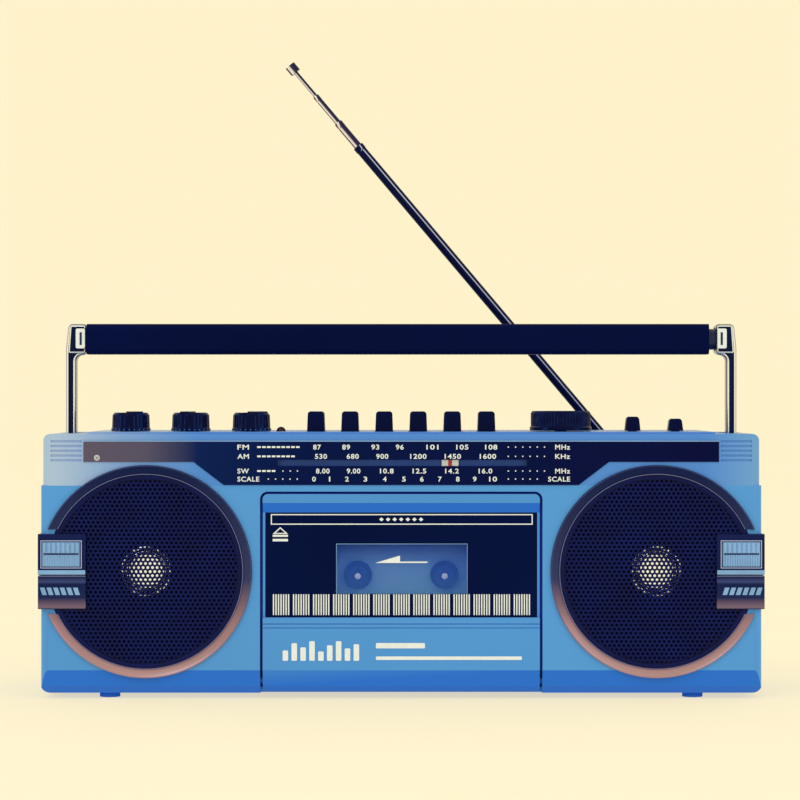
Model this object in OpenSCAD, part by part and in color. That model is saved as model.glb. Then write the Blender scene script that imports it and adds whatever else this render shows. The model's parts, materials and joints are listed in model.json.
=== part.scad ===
// Portable radio cassette recorder: two speakers, six piano keys, a folding
// handle, a telescopic aerial and a front cassette door.
// Millimetres, +Z up, front towards -Y, origin on the table under the middle.

/* [Cabinet] */
// Width of the lower cabinet
body_w = 350; // [346:1:354]
// Depth of the cabinet from front to back
body_d = 104; // [103:0.5:106]
// Height of the cabinet's underside above the table
foot_h = 2.5; // [2:0.1:3]
// Height of the seam under the top cover
seam_z = 103.5; // [103:0.1:103.7]
// Height of the shoulders of the top cover
shoulder_z = 128.6; // [128:0.1:129]
// Height of the raised deck
deck_z = 129.5; // [129.2:0.1:129.8]
// Thickness of the moulded walls
wall = 2.5; // [2.2:0.1:2.6]

/* [Speakers] */
// Distance of each speaker's centre from the middle
speaker_x = 124; // [123:0.5:124.5]
// Height of the speakers' centres
speaker_z = 61.8; // [61:0.1:62.5]
// Outer radius of the trim ring
ring_r = 51.7; // [50:0.1:52]
// Inner radius of the trim ring
ring_inner_r = 46.9; // [46:0.1:47.2]

/* [Handle] */
// Distance of the handle's plane behind the cabinet's middle
handle_y = -18; // [-19:0.5:-17]
// Height of the handle's pivots
handle_pivot_z = 120; // [119:0.5:121]
// Height of the middle of the grip
grip_z = 175.1; // [174:0.1:178]
// Height of the grip's section
grip_h = 15; // [14:0.5:15.5]
// Depth of the grip's section
grip_d = 18; // [16:0.5:18]

/* [Aerial] */
// Distance of the aerial's pivot from the middle
aerial_x = 106.7; // [104:0.1:110]
// Distance of the aerial behind the middle
aerial_y = 48; // [47.8:0.1:48.2]
// Height of the aerial's pivot
aerial_z = 124; // [123.8:0.1:124.4]
// Lean of the aerial from upright, to the left
aerial_lean = 40.2; // [0:0.1:49]

/* [Controls] */
// Distance of the knobs and keys behind the middle
control_y = -24; // [-25:0.5:-23]
// Distance between neighbouring keys
key_pitch = 16.8; // [16:0.1:17.5]
// Width of a key's cap
key_w = 9; // [8:0.1:10]
// Height of the tops of the keys and knobs
key_top_z = 139.4; // [137:0.1:141]
// Radius of the three small knobs
knob_r = 9.3; // [8.5:0.1:9.6]
// Radius of the tuning knob
tuning_r = 14.75; // [13:0.05:15]
// Distance of the tuning knob from the middle
tuning_x = 78.8; // [76:0.1:80]
// Distance of the dial pointer from the middle
pointer_x = 23.7; // [-40:0.1:43]

/* [Cassette] */
// Half the width of the cassette door
door_half_w = 67.2; // [66.8:0.1:67.4]
// Height of the door's top edge
door_top_z = 99.4; // [98.5:0.1:99.6]
// Half the distance between the two reel spindles
reel_x = 21.25; // [21:0.05:21.5]
// Height of the reel spindles
reel_z = 59; // [58:0.5:60]

/* [Hidden] */
$fn = 64;
cut = 1;
hw = body_w / 2;
hd = body_d / 2;
front_y = -hd;
inner_y = front_y + wall;
corner_r = 4;
cover_w = body_w - 2;
deck_w = 305;
deck_thick = 2.5;
deck_under_z = shoulder_z - deck_thick;
run = 0.06;

// lower cabinet
chamfer_z = 14;
chamfer_mid_z = 6.2;
boss_spots = [[166, 12], [77, 12], [77, 97], [166, 97]];
boss_r = 4.5;
screw_r = 1.4;
screw_head_r = 3;
screw_head_y = 10;
foot_x = 142.5;
foot_y = 38;
pad_h = 2;

// groove for the folded aerial along the rear top edge
groove_y = 44;
groove_z = 120;

// dial
dial_thick = 1.5;
dial_stand = 0.5;
dial_top_z = 125.3;
dial_wing_x = 154;
dial_wing_z = 115;
dial_bottom_z = 103.8;
slot_left = -60;
slot_right = 61;
slot_z = 113;
slot_h = 3;
pointer_w = 8.1;
rail_y = -45.5;
rail_z = 108;
rail_r = 1.2;

// speaker
grille_thick = 0.8;
cone_r = 42;
cap_r = 10.9;
trim_in_x = 152.8;
trim_out_x = hw + 1;
trim_low_z = 60.3;
trim_top_z = 80.1;
badge_low_z = 43.7;
badge_top_z = 60;
trim_front_y = front_y - pad_h;

// handle
arm_in_x = 161;
arm_w = 5;
arm_d = 10;
bracket_in_x = 155.7;
bracket_out_x = 166.5;
bracket_front_y = handle_y - grip_d / 2 + 1;
grip_left_x = -155.4;
grip_right_x = 152;
core_r = 4;
collar_r = 5.2;
pin_r = 3;

// aerial, each section measured along the aerial from its pivot
base_tube = [5, 200];
middle_tube = [31, 216];
upper_tube = [49, 234];
tip_rod = [65, 250];
tip_len = 4.8;
swivel_cap_r = 3;
aerial_radii = [[2.6, 2.2], [2.1, 1.65], [1.55, 1.15], [1.05, 0]];

// keys
key_count = 6;
key_d = 14;
key_bottom_z = 123;
lever_low_z = 117.5;
lever_w = 6;
shaft_y = 22;
shaft_z = 121;
shaft_r = 1.5;
knob_xs = [-133.6, -104, -74];
knob_turns = [35, -20, 60];
spindle_r = 3;
switch_xs = [114.3, 135.4];
switch_tops = [136.8, 135.8];
switch_w = 7.4;
switch_travel = 4;
led_x = -59.4;
led_r = 2.35;

// cassette door and mechanism
door_gap = 1.3;
door_corner_r = 2.5;
door_open_z = 100.6;
door_low_z = 3.2;
door_pivot = [-46, 8.5];
lens_y = front_y + 1.8;
lens_thick = 1.5;
lens_half_w = 66;
lens_low_z = 39.5;
lens_top_z = 90.4;
band_low_z = 95.1;
chassis_y = -30;
chassis_thick = 2;
capstan = [-19, 84];
flywheel_r = 18;
flywheel_y = [-24, -19];
motor_at = [36, 84];
motor_r = 13;
pulley_r = 4;
roller_r = 5;
head_travel = 3;

// battery bay
bay_half_w = 66;
bay_low_z = 11.5;
bay_top_z = 84.5;
bay_y = 13.5;
tray = 2;
lip_gap = 0.4;

// ---- shared shapes ----

// A rectangle with round corners, centred
module round_rect(w, h, r) {
    square([w - 2 * r, h], center = true);
    square([w, h - 2 * r], center = true);
    for (x = [-1, 1], y = [-1, 1])
        translate([x * (w / 2 - r), y * (h / 2 - r)]) circle(r);
}

// An outline in Y and Z drawn out along X
module along_x(from, to) {
    translate([from, 0, 0]) rotate([90, 0, 90]) linear_extrude(to - from) children();
}

// An outline in X and Z drawn out along Y
module along_y(from, to) {
    translate([0, to, 0]) rotate([90, 0, 0]) linear_extrude(to - from) children();
}

module rod_x(from, to, r, y, z) {
    translate([from, y, z]) rotate([0, 90, 0]) cylinder(r = r, h = to - from);
}

module rod_y(from, to, r, x, z) {
    translate([x, from, z]) rotate([-90, 0, 0]) cylinder(r = r, h = to - from);
}

module rod_z(from, to, r, x, y) {
    translate([x, y, from]) cylinder(r = r, h = to - from);
}

// A box given by its lowest and highest corners
module block(low, high) {
    translate(low) cube(high - low);
}

// The right-hand piece as drawn, or its mirror image on the left
module sided(s) {
    mirror([s < 0 ? 1 : 0, 0, 0]) children();
}

module both_sides() {
    for (s = [-1, 1]) sided(s) children();
}

// ---- cabinet ----

function side_outline(t, top) = [
    [front_y + t, chamfer_z], [front_y + 2 + t, chamfer_mid_z + t / 2],
    [front_y + 6 + t, foot_h + t], [hd - 3 - t, foot_h + t], [hd - t, foot_h + 3 + t],
    [hd - t, top], [front_y + t, top]];

module cabinet_solid(t) {
    top = t > 0 ? seam_z + cut : seam_z;
    h = top + 4 * corner_r - foot_h - t;
    intersection() {
        along_x(t - hw, hw - t) polygon(side_outline(t, top));
        along_y(-hd, hd) translate([0, foot_h + t + h / 2])
            round_rect(body_w - 2 * t, h, corner_r);
        translate([0, 0, foot_h]) linear_extrude(top - foot_h)
            round_rect(body_w - 2 * t, body_d - 2 * t, corner_r - 0.6 * t);
    }
}

module cabinet_shell() {
    difference() {
        cabinet_solid(0);
        cabinet_solid(wall);
    }
}

module front_cabinet() {
    side_in = door_half_w + door_gap;
    color("steelblue") difference() {
        union() {
            intersection() {
                cabinet_shell();
                block([-hw, -hd, 0], [hw, 0, deck_z]);
            }
            intersection() {
                cabinet_solid(wall / 2);
                both_sides() block([side_in, -hd, 0], [side_in + wall, -27, door_open_z]);
            }
            both_sides() for (p = boss_spots)
                rod_y(inner_y - cut, 0, boss_r - 1, p[0], p[1]);
        }
        // door opening, its two upper corners round
        along_y(-hd - cut, -42)
            round_rect(2 * side_in, 2 * door_open_z, door_corner_r + door_gap);
        both_sides() rod_y(-hd - cut, -45, ring_inner_r + 1.1, speaker_x, speaker_z);
        both_sides() for (p = boss_spots) rod_y(-16, cut, screw_r + 0.05, p[0], p[1]);
        rod_x(-hw / 2, hw / 2, shaft_r + run, door_pivot[0], door_pivot[1]);
    }
}

module rear_cabinet() {
    color("steelblue") difference() {
        union() {
            intersection() {
                cabinet_shell();
                block([-hw, 0, 0], [hw, hd, deck_z]);
            }
            both_sides() for (p = boss_spots)
                rod_y(0, hd - wall + cut, boss_r, p[0], p[1]);
            block([-bay_half_w - tray, bay_y - tray, bay_low_z - tray],
                [bay_half_w + tray, hd - wall + cut, bay_top_z + tray]);
        }
        both_sides() for (p = boss_spots) {
            rod_y(-cut, hd, screw_r + 0.3, p[0], p[1]);
            rod_y(screw_head_y, hd + cut, screw_head_r + 0.4, p[0], p[1]);
        }
        block([-bay_half_w, bay_y, bay_low_z], [bay_half_w, hd + cut, bay_top_z]);
        // ventilation slots behind the speakers
        both_sides() for (i = [0 : 7])
            block([100, hd - wall - cut, 34 + 6 * i], [148, hd + cut, 36.2 + 6 * i]);
        // openings for the mains inlet and the earphone socket
        block([-126, hd - wall - cut, 16], [-98, hd + cut, 32]);
        rod_x(hw - wall - cut, hw + cut, 4.5, 26, 85);
    }
}

function dial_outline() = [
    [-dial_wing_x, dial_top_z], [-dial_wing_x, dial_wing_z], [-100.7, dial_wing_z],
    [-86, dial_bottom_z], [86, dial_bottom_z], [100.7, dial_wing_z],
    [dial_wing_x, dial_wing_z], [dial_wing_x, dial_top_z]];

module top_cover() {
    inner_w = cover_w - 2 * wall;
    color("lightsteelblue") difference() {
        union() {
            intersection() {
                translate([0, 0, seam_z]) linear_extrude(shoulder_z - seam_z)
                    round_rect(cover_w, body_d, corner_r);
                // the ends' top edges are rounded in the front view
                along_y(-hd, hd) translate([0, seam_z])
                    round_rect(cover_w, 2 * (shoulder_z - seam_z), corner_r);
            }
            block([-deck_w / 2, front_y + 1, shoulder_z - cut], [deck_w / 2, hd - 1, deck_z]);
        }
        difference() {
            block([-inner_w / 2, inner_y, seam_z - cut], [inner_w / 2, hd - wall, deck_under_z]);
            block([-hw, groove_y - wall, groove_z - wall], [hw, hd, deck_z]);
            both_sides() block([52, shaft_y - 4, 116], [56, shaft_y + 4, deck_z]);
        }
        block([-hw, groove_y, groove_z], [hw, hd + cut, deck_z + cut]);
        // seat of the dial panel and the opening that the pointer runs in
        along_y(front_y - cut, front_y + dial_thick - dial_stand) polygon(dial_outline());
        block([-68, front_y, 106], [68, inner_y + cut, 118]);
        both_sides() for (i = [0 : 4])
            block([155, front_y - cut, 115.2 + 2.3 * i], [170, front_y + 0.6, 116.3 + 2.3 * i]);
        both_sides() block([arm_in_x - 2, handle_y - 7.5, deck_under_z - cut],
            [arm_in_x + arm_w + 2, handle_y + 35, deck_z + cut]);
        for (x = knob_xs) rod_z(deck_under_z - cut, deck_z + cut, spindle_r + run, x, control_y);
        rod_z(deck_under_z - cut, deck_z + cut, spindle_r + run, tuning_x, control_y);
        rod_z(deck_under_z - cut, deck_z + cut, led_r + run, led_x, control_y);
        for (i = [0 : key_count - 1])
            block([key_x(i) - key_w / 2 - 0.5, control_y - key_d / 2 - 2, deck_under_z - cut],
                [key_x(i) + key_w / 2 + 0.5, control_y + key_d / 2 + 1, deck_z + cut]);
        for (x = switch_xs)
            block([x - switch_travel - 2.5, control_y - 2.3, deck_under_z - cut],
                [x + switch_travel + 2.5, control_y + 2.3, deck_z + cut]);
        rod_x(-60, 60, shaft_r + run, shaft_y, shaft_z);
        both_sides() rod_y(-hd - cut, -45, ring_inner_r + 1.1, speaker_x, speaker_z);
        rod_z(groove_z - wall - cut, groove_z + cut, 2 + run, aerial_x, aerial_y);
        rod_z(groove_z - wall - 4, groove_z - wall, swivel_cap_r + 0.3, aerial_x, aerial_y);
    }
}

module feet() {
    color("cadetblue") {
        for (x = [-foot_x, foot_x], y = [-foot_y, foot_y]) rod_z(0, foot_h, 5, x, y);
        for (x = [-foot_x, foot_x]) rod_y(hd, hd + pad_h, 4, x, 92);
    }
}

module cabinet_screws() {
    color("silver") both_sides() for (p = boss_spots) difference() {
        union() {
            rod_y(-14, screw_head_y + cut, screw_r, p[0], p[1]);
            rod_y(screw_head_y, screw_head_y + 2.4, screw_head_r, p[0], p[1]);
        }
        block([p[0] - 0.5, screw_head_y + 1.2, p[1] - 2], [p[0] + 0.5, screw_head_y + 3, p[1] + 2]);
        block([p[0] - 2, screw_head_y + 1.2, p[1] - 0.5], [p[0] + 2, screw_head_y + 3, p[1] + 0.5]);
    }
}

// ---- dial ----

module dial_panel() {
    color("midnightblue") difference() {
        along_y(front_y - dial_stand, front_y + dial_thick - dial_stand)
            polygon(dial_outline());
        block([slot_left, -hd - 2, slot_z], [slot_right, -hd + 2, slot_z + slot_h]);
    }
}

module dial_backing() {
    color("cornflowerblue") block([-70, inner_y, 111.5], [70, inner_y + 0.8, 117.8]);
}

module pointer_rail() {
    color("silver") {
        rod_x(-71, 71, rail_r, rail_y, rail_z);
        both_sides() difference() {
            block([70, inner_y, 105.5], [73, rail_y + 3, 110.5]);
            rod_x(69, 71, rail_r, rail_y, rail_z);
        }
    }
}

module dial_pointer() {
    low = rail_z - 2.5;
    color("red") difference() {
        union() {
            block([pointer_x - pointer_w / 2, front_y + 1.2, low + 1.5],
                [pointer_x + pointer_w / 2, front_y + 2, slot_z + slot_h + 0.3]);
            block([pointer_x - 2, front_y + 1.2, low + 1.5], [pointer_x + 2, rail_y, rail_z + 2.5]);
            block([pointer_x - 5, rail_y - 2, low], [pointer_x + 5, rail_y + 2, rail_z + 2.5]);
        }
        rod_x(pointer_x - 6, pointer_x + 6, rail_r + run, rail_y, rail_z);
    }
}

// ---- speakers and side trims ----

module speaker_disc(from, to, r) {
    rod_y(from, to, r, speaker_x, speaker_z);
}

module trim_notch() {
    block([trim_in_x - 0.2, -hd - 5, 41.3], [hw + 5, -hd + 5, 82.3]);
}

module speaker_rings() {
    color("rosybrown") both_sides() difference() {
        union() {
            speaker_disc(front_y - 1.5, front_y, ring_r);
            speaker_disc(front_y - cut, front_y + 0.5, ring_inner_r + 1);
        }
        speaker_disc(front_y - 3, front_y + 2, ring_inner_r);
        trim_notch();
    }
}

module speaker_grille() {
    speaker_disc(front_y + 0.5, front_y + 0.5 + grille_thick, ring_inner_r + 1);
}

module speaker_grille_left() {
    color("midnightblue") sided(-1) speaker_grille();
}

module speaker_grille_right() {
    color("midnightblue") sided(1) speaker_grille();
}

// An L-shaped plate on the front that wraps round the side
module side_plate(low_z, top_z) {
    block([trim_in_x, trim_front_y, low_z], [trim_out_x, front_y, top_z]);
    block([hw, trim_front_y, low_z], [trim_out_x, front_y + 16, top_z]);
}

module side_trims() {
    color("midnightblue") both_sides() difference() {
        side_plate(trim_low_z, trim_top_z);
        block([155.6, trim_front_y - cut, 64.2], [174, trim_front_y + 0.8, 76.3]);
    }
}

module badge_plates() {
    color("silver") both_sides() side_plate(badge_low_z, badge_top_z);
}

// Half section of the pressed frame and magnet, in radius and depth
function basket_outline() = [
    [44.5, 0], [48.5, 0], [48.5, 1.5], [45, 1.5], [25, 19], [25, 21], [22, 21], [22, 35],
    [4, 35], [4, 30], [9, 30], [9, 19], [22, 19], [43, 1]];

module speaker_baskets() {
    color("dimgray") both_sides() difference() {
        intersection() {
            translate([speaker_x, inner_y, speaker_z]) rotate([-90, 0, 0])
                rotate_extrude() polygon(basket_outline());
            // the flange is cut flat at the side wall and the floor
            block([0, inner_y, speaker_z - 46.6], [speaker_x + 46.4, 0, deck_under_z]);
        }
        for (a = [45 : 90 : 315])
            translate([speaker_x, inner_y + 5, speaker_z]) rotate([0, a, 0])
                block([27, 0, -8], [50, 12, 8]);
    }
}

// Half section of the cone and dust cap, in radius and depth
function cone_outline() = [
    [43.6, -0.5], [43.6, -0.2], [cone_r, 0.2], [cap_r, 14], [6, 12], [0, 11], [0, 10.2], [6, 11.2],
    [cap_r, 13], [cone_r, -0.5]];

module speaker_cones() {
    color("midnightblue") both_sides() translate([speaker_x, inner_y + 0.5, speaker_z])
        rotate([-90, 0, 0]) rotate_extrude() polygon(cone_outline());
}

// ---- handle ----

module handle_pivots() {
    inner_x = cover_w / 2 - wall;
    color("silver") both_sides() {
        rod_x(arm_in_x - 2.6, inner_x, pin_r, handle_y, handle_pivot_z);
        rod_x(arm_in_x - 2.6, arm_in_x - 0.6, 5, handle_y, handle_pivot_z);
        rod_x(arm_in_x + arm_w + 0.6, inner_x, 4.5, handle_y, handle_pivot_z);
    }
}

module square_between(x0, y0, x1, y1) {
    translate([x0, y0]) square([x1 - x0, y1 - y0]);
}

// Front view of the bracket, whose outer edge leans in towards its round top corner
module bracket_outline() {
    low = grip_z - grip_h / 2;
    top = grip_z + grip_h / 2;
    hull() {
        square_between(bracket_in_x, low, bracket_in_x + 2, top);
        square_between(bracket_out_x - 1, low, bracket_out_x, low + 2);
        translate([bracket_out_x - 3.5, top - 2]) circle(2);
    }
}

module handle_arm() {
    difference() {
        union() {
            along_y(handle_y - arm_d / 2, handle_y + arm_d / 2)
                square_between(arm_in_x, handle_pivot_z, arm_in_x + arm_w, grip_z);
            along_y(bracket_front_y, 2 * handle_y - bracket_front_y) bracket_outline();
            rod_x(arm_in_x, arm_in_x + arm_w, arm_d / 2, handle_y, handle_pivot_z);
            // fillet under the bracket
            along_y(handle_y - arm_d / 2, handle_y + arm_d / 2) difference() {
                square_between(arm_in_x - 3, grip_z - grip_h / 2 - 3, arm_in_x + cut, grip_z);
                translate([arm_in_x - 3, grip_z - grip_h / 2 - 3]) circle(3);
            }
        }
        rod_x(arm_in_x - cut, arm_in_x + arm_w + cut, pin_r + run, handle_y, handle_pivot_z);
        // shallow seat of the end plate beside the grip
        block([bracket_in_x + 0.7, bracket_front_y - cut, grip_z - 4.5],
            [arm_in_x - 0.5, bracket_front_y + 1, grip_z + 5]);
        // blind seat for the end of the core
        rod_x(bracket_in_x - cut, bracket_in_x + 4, core_r, handle_y, grip_z);
    }
}

module handle_arm_left() {
    color("gainsboro") sided(-1) handle_arm();
}

module handle_arm_right() {
    color("gainsboro") sided(1) handle_arm();
}

module handle_grip() {
    color("black") difference() {
        along_x(grip_left_x, grip_right_x) translate([handle_y, grip_z])
            round_rect(grip_d, grip_h, 3);
        rod_x(grip_left_x - cut, grip_right_x + cut, core_r + 0.1, handle_y, grip_z);
    }
}

module handle_core() {
    color("gray") {
        rod_x(-bracket_in_x - 4, bracket_in_x + 4, core_r, handle_y, grip_z);
        rod_x(grip_right_x, bracket_in_x, collar_r, handle_y, grip_z);
    }
}

// ---- aerial ----

module on_aerial() {
    translate([aerial_x, aerial_y, aerial_z]) rotate([0, -aerial_lean, 0]) children();
}

module aerial_tube(span, radii) {
    on_aerial() difference() {
        translate([0, 0, span[0]]) cylinder(r = radii[0], h = span[1] - span[0]);
        translate([0, 0, span[0] - cut]) cylinder(r = radii[1], h = span[1] - span[0] + 2 * cut);
    }
}

module aerial_swivel() {
    color("silver") difference() {
        union() {
            rod_z(groove_z - wall - 2, groove_z + cut, 2, aerial_x, aerial_y);
            rod_z(groove_z - wall - 2, groove_z - wall - 0.1, swivel_cap_r, aerial_x, aerial_y);
            rod_z(groove_z + 0.1, groove_z + 0.9, 3.9, aerial_x, aerial_y);
            intersection() {
                for (y = [-3.1, 1.7])
                    block([aerial_x - 2, aerial_y + y, groove_z + 0.5],
                        [aerial_x + 2, aerial_y + y + 1.4, aerial_z + 2]);
                rod_z(groove_z, aerial_z + 3, 3.9, aerial_x, aerial_y);
            }
        }
        rod_y(aerial_y - 5, aerial_y + 5, 1 + run, aerial_x, aerial_z);
    }
}

module aerial_base_tube() {
    color("black") {
        aerial_tube(base_tube, aerial_radii[0]);
        on_aerial() translate([0, 0, base_tube[0]]) cylinder(r = 2.4, h = 5);
        on_aerial() intersection() {
            block([-1.9, -1.5, -1.9], [1.9, 1.5, base_tube[0] + cut]);
            union() {
                rod_y(-2, 2, 1.9, 0, 0);
                block([-1.9, -2, 0], [1.9, 2, base_tube[0] + cut]);
            }
        }
        rod_y(aerial_y - 3.3, aerial_y + 3.3, 1, aerial_x, aerial_z);
    }
}

module aerial_middle_tube() {
    color("silver") aerial_tube(middle_tube, aerial_radii[1]);
}

module aerial_upper_tube() {
    color("silver") aerial_tube(upper_tube, aerial_radii[2]);
}

module aerial_tip() {
    color("silver") on_aerial() {
        translate([0, 0, tip_rod[0]]) cylinder(r = aerial_radii[3][0], h = tip_rod[1] - tip_rod[0] + cut);
        translate([0, 0, tip_rod[1]]) cylinder(r = 2.8, h = tip_len);
    }
}

// ---- keys, knobs and switches ----

function key_x(i) = (i - (key_count - 1) / 2) * key_pitch;

module key_cap_outline(w, low, top, bevel) {
    polygon([[-w / 2, low], [w / 2, low], [w / 2, top - bevel], [w / 2 - bevel, top],
        [bevel - w / 2, top], [-w / 2, top - bevel]]);
}

module piano_key(i) {
    color("black") translate([key_x(i), 0, 0]) difference() {
        union() {
            along_y(control_y - key_d / 2, control_y + key_d / 2)
                key_cap_outline(key_w, key_bottom_z, key_top_z, 1.2);
            block([-lever_w / 2, control_y - 5, lever_low_z], [lever_w / 2, shaft_y, key_bottom_z + 1]);
            rod_x(-lever_w / 2, lever_w / 2, 3.3, shaft_y, shaft_z);
        }
        rod_x(-lever_w, lever_w, shaft_r + run, shaft_y, shaft_z);
    }
}

module key_record() { piano_key(0); }
module key_play() { piano_key(1); }
module key_rewind() { piano_key(2); }
module key_fast_forward() { piano_key(3); }
module key_stop() { piano_key(4); }
module key_pause() { piano_key(5); }

module key_shaft() {
    color("silver") rod_x(-57, 57, shaft_r, shaft_y, shaft_z);
}

module small_knob(i) {
    color("black") {
        rod_z(114, deck_z + 2, spindle_r, knob_xs[i], control_y);
        rod_z(deck_z + 0.2, deck_z + 1.8, knob_r + 0.4, knob_xs[i], control_y);
        rod_z(deck_z + 0.2, key_top_z - 0.6, knob_r, knob_xs[i], control_y);
        translate([knob_xs[i], control_y, 0]) rotate([0, 0, knob_turns[i]])
            block([-2.5, -knob_r + 0.3, key_top_z - 1.5], [2.5, 1, key_top_z]);
    }
}

module volume_knob() { small_knob(0); }
module tone_knob() { small_knob(1); }
module balance_knob() { small_knob(2); }

module potentiometers() {
    color("gray") for (x = knob_xs) difference() {
        union() {
            rod_z(113, 121, 8, x, control_y);
            rod_z(121, deck_under_z, 5, x, control_y);
        }
        rod_z(113.5, deck_z, spindle_r + run, x, control_y);
    }
}

module tuning_knob() {
    color("black") {
        rod_z(107, deck_z + 2, spindle_r, tuning_x, control_y);
        rod_z(deck_z + 0.4, deck_z + 2.4, tuning_r + 0.55, tuning_x, control_y);
        rod_z(deck_z + 0.4, key_top_z + 0.2, tuning_r, tuning_x, control_y);
    }
}

module tuning_drum() {
    color("ivory") difference() {
        rod_z(109, 114, 15, tuning_x, control_y);
        translate([tuning_x, control_y, 110]) difference() {
            cylinder(r = 16, h = 3);
            cylinder(r = 14, h = 3);
        }
        rod_z(108, 115, spindle_r + 0.02, tuning_x, control_y);
    }
}

module slide_knob(i) {
    color("black") translate([switch_xs[i], 0, 0]) {
        block([-2, control_y - 1.9, deck_under_z - 3], [2, control_y + 1.9, deck_z + 2]);
        along_y(control_y - 4, control_y + 4)
            key_cap_outline(switch_w, deck_z + 0.3, switch_tops[i], 1);
    }
}

module function_switch() { slide_knob(0); }
module band_switch() { slide_knob(1); }

module power_led() {
    color("red") {
        rod_z(122, deck_z, led_r, led_x, control_y);
        translate([led_x, control_y, deck_z]) intersection() {
            scale(led_r) sphere(1);
            cylinder(r = led_r, h = led_r);
        }
    }
}

// ---- cassette door ----

// Section of the door in Y and Z: flat band, slope down to the lens, lower panel
function door_outline() = [
    [front_y, door_top_z], [front_y, band_low_z], [lens_y, lens_top_z],
    [lens_y, lens_low_z], [front_y, lens_low_z], [front_y, chamfer_z],
    [front_y + 2, chamfer_mid_z], [front_y + 5, door_low_z], [front_y + 7, door_low_z + 2],
    [front_y + 4.8, chamfer_mid_z + 2], [lens_y + 3, chamfer_z + 1], [lens_y + 3, band_low_z],
    [front_y + 6, band_low_z + 1.8], [front_y + 6, door_top_z]];

module door_frame() {
    color("steelblue") difference() {
        union() {
            intersection() {
                along_x(-door_half_w, door_half_w) polygon(door_outline());
                along_y(-hd - cut, 0)
                    round_rect(2 * door_half_w, 2 * door_top_z, door_corner_r);
            }
            rod_x(-door_half_w - 4, door_half_w + 4, shaft_r, door_pivot[0], door_pivot[1]);
            both_sides() block([door_half_w - 3, front_y + 4, 5], [door_half_w, front_y + 8, 12]);
        }
        block([-lens_half_w, -hd - cut, lens_low_z], [lens_half_w, lens_y + lens_thick, lens_top_z]);
        block([2 - lens_half_w, -hd, lens_low_z + 2], [lens_half_w - 2, -hd + 9, lens_top_z - 2]);
        for (z = [34.5, 36.4])
            block([-door_half_w - cut, -hd - cut, z - 0.3], [door_half_w + cut, -hd + 0.5, z + 0.3]);
    }
}

module door_window() {
    color("navy") block([-lens_half_w, lens_y, lens_low_z],
        [lens_half_w, lens_y + lens_thick, lens_top_z]);
}

module cassette_holder() {
    back_y = -34;
    front = lens_y + 3;
    color("dimgray") {
        both_sides() block([51, front, 26], [53, back_y, 90]);
        block([-52, front, 26], [52, back_y, 28]);
        both_sides() block([48, back_y - 1.5, 27], [52, back_y, 44]);
    }
}

// ---- tape mechanism ----

module mech_chassis() {
    back = chassis_y + chassis_thick;
    side_x = door_half_w + door_gap;
    color("silver") difference() {
        union() {
            block([-64, chassis_y, 22], [64, back, 101]);
            for (z = [24, 92]) block([-side_x, chassis_y, z], [side_x, back, z + 8]);
            for (z = [-6, 6]) rod_y(back - cut, -17, 2, 49, motor_at[1] + z);
            for (x = [-28, 20]) rod_y(chassis_y - 6, chassis_y + cut, 1.5, x, 99);
        }
        for (x = [-reel_x, reel_x]) rod_y(-40, -20, shaft_r + run, x, reel_z);
        rod_y(-40, -20, 1 + run, capstan[0], capstan[1]);
    }
}

module reel_spindle(x) {
    color("navy") {
        rod_y(-42, -33, 2.4, x, reel_z);
        rod_y(-34, chassis_y - 0.3, 6.9, x, reel_z);
        rod_y(-35, -26, shaft_r, x, reel_z);
        rod_y(chassis_y + chassis_thick + 0.1, -25.5, 5, x, reel_z);
        for (a = [0 : 120 : 240])
            translate([x, -34.5, reel_z]) rotate([0, a, 0]) block([-0.5, -6, 0], [0.5, 1, 3.4]);
    }
}

module take_up_spindle() { reel_spindle(-reel_x); }
module supply_spindle() { reel_spindle(reel_x); }

module flywheel() {
    color("darkgray") {
        rod_y(-42, flywheel_y[0] + cut, 1, capstan[0], capstan[1]);
        difference() {
            rod_y(flywheel_y[0], flywheel_y[1], flywheel_r, capstan[0], capstan[1]);
            rod_y(flywheel_y[1] - 2, flywheel_y[1] + cut, flywheel_r - 4, capstan[0], capstan[1]);
        }
    }
}

module motor() {
    color("lightgray") difference() {
        rod_y(-17, 7, motor_r, motor_at[0], motor_at[1]);
        rod_y(-18, -13, 1 + run, motor_at[0], motor_at[1]);
    }
}

module motor_pulley() {
    color("gold") {
        rod_y(flywheel_y[0], flywheel_y[1], pulley_r, motor_at[0], motor_at[1]);
        rod_y(flywheel_y[1] - cut, -14, 1, motor_at[0], motor_at[1]);
    }
}

module belt_outline(grow) {
    hull() {
        translate(capstan) circle(flywheel_r + grow, $fn = 48);
        translate(motor_at) circle(pulley_r + grow, $fn = 48);
    }
}

module drive_belt() {
    color("black") along_y(-22.5, -20.5) difference() {
        belt_outline(0.9);
        belt_outline(0.3);
    }
}

module head_carriage() {
    roller_z = capstan[1] + 1 + roller_r + head_travel + 0.4;
    color("silver") difference() {
        union() {
            block([-34, -34, 95], [26, -31, 103]);
            block([-6, -43, 88.5], [6, -31, 99]);
            rod_y(-42, -36, roller_r, capstan[0], roller_z);
            rod_y(-42.5, -32, 1.2, capstan[0], roller_z);
            block([capstan[0] - 2, -34, roller_z - 2], [capstan[0] + 2, -32, 99]);
        }
        for (x = [-28, 20]) block([x - 1.7, -40, 97.2], [x + 1.7, -30, 104]);
    }
}

// ---- electrics ----

module main_board() {
    color("seagreen") {
        block([-95, 2, 105], [95, 40, 106.6]);
        for (i = [-4 : 4]) rod_z(106.6, 111 + (i + 4) % 3, 2 + (i + 4) % 2, i * 19, 10);
        for (i = [-2 : 2]) block([i * 30 - 6, 15, 106.6], [i * 30 + 6, 17.5, 110]);
    }
}

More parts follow.
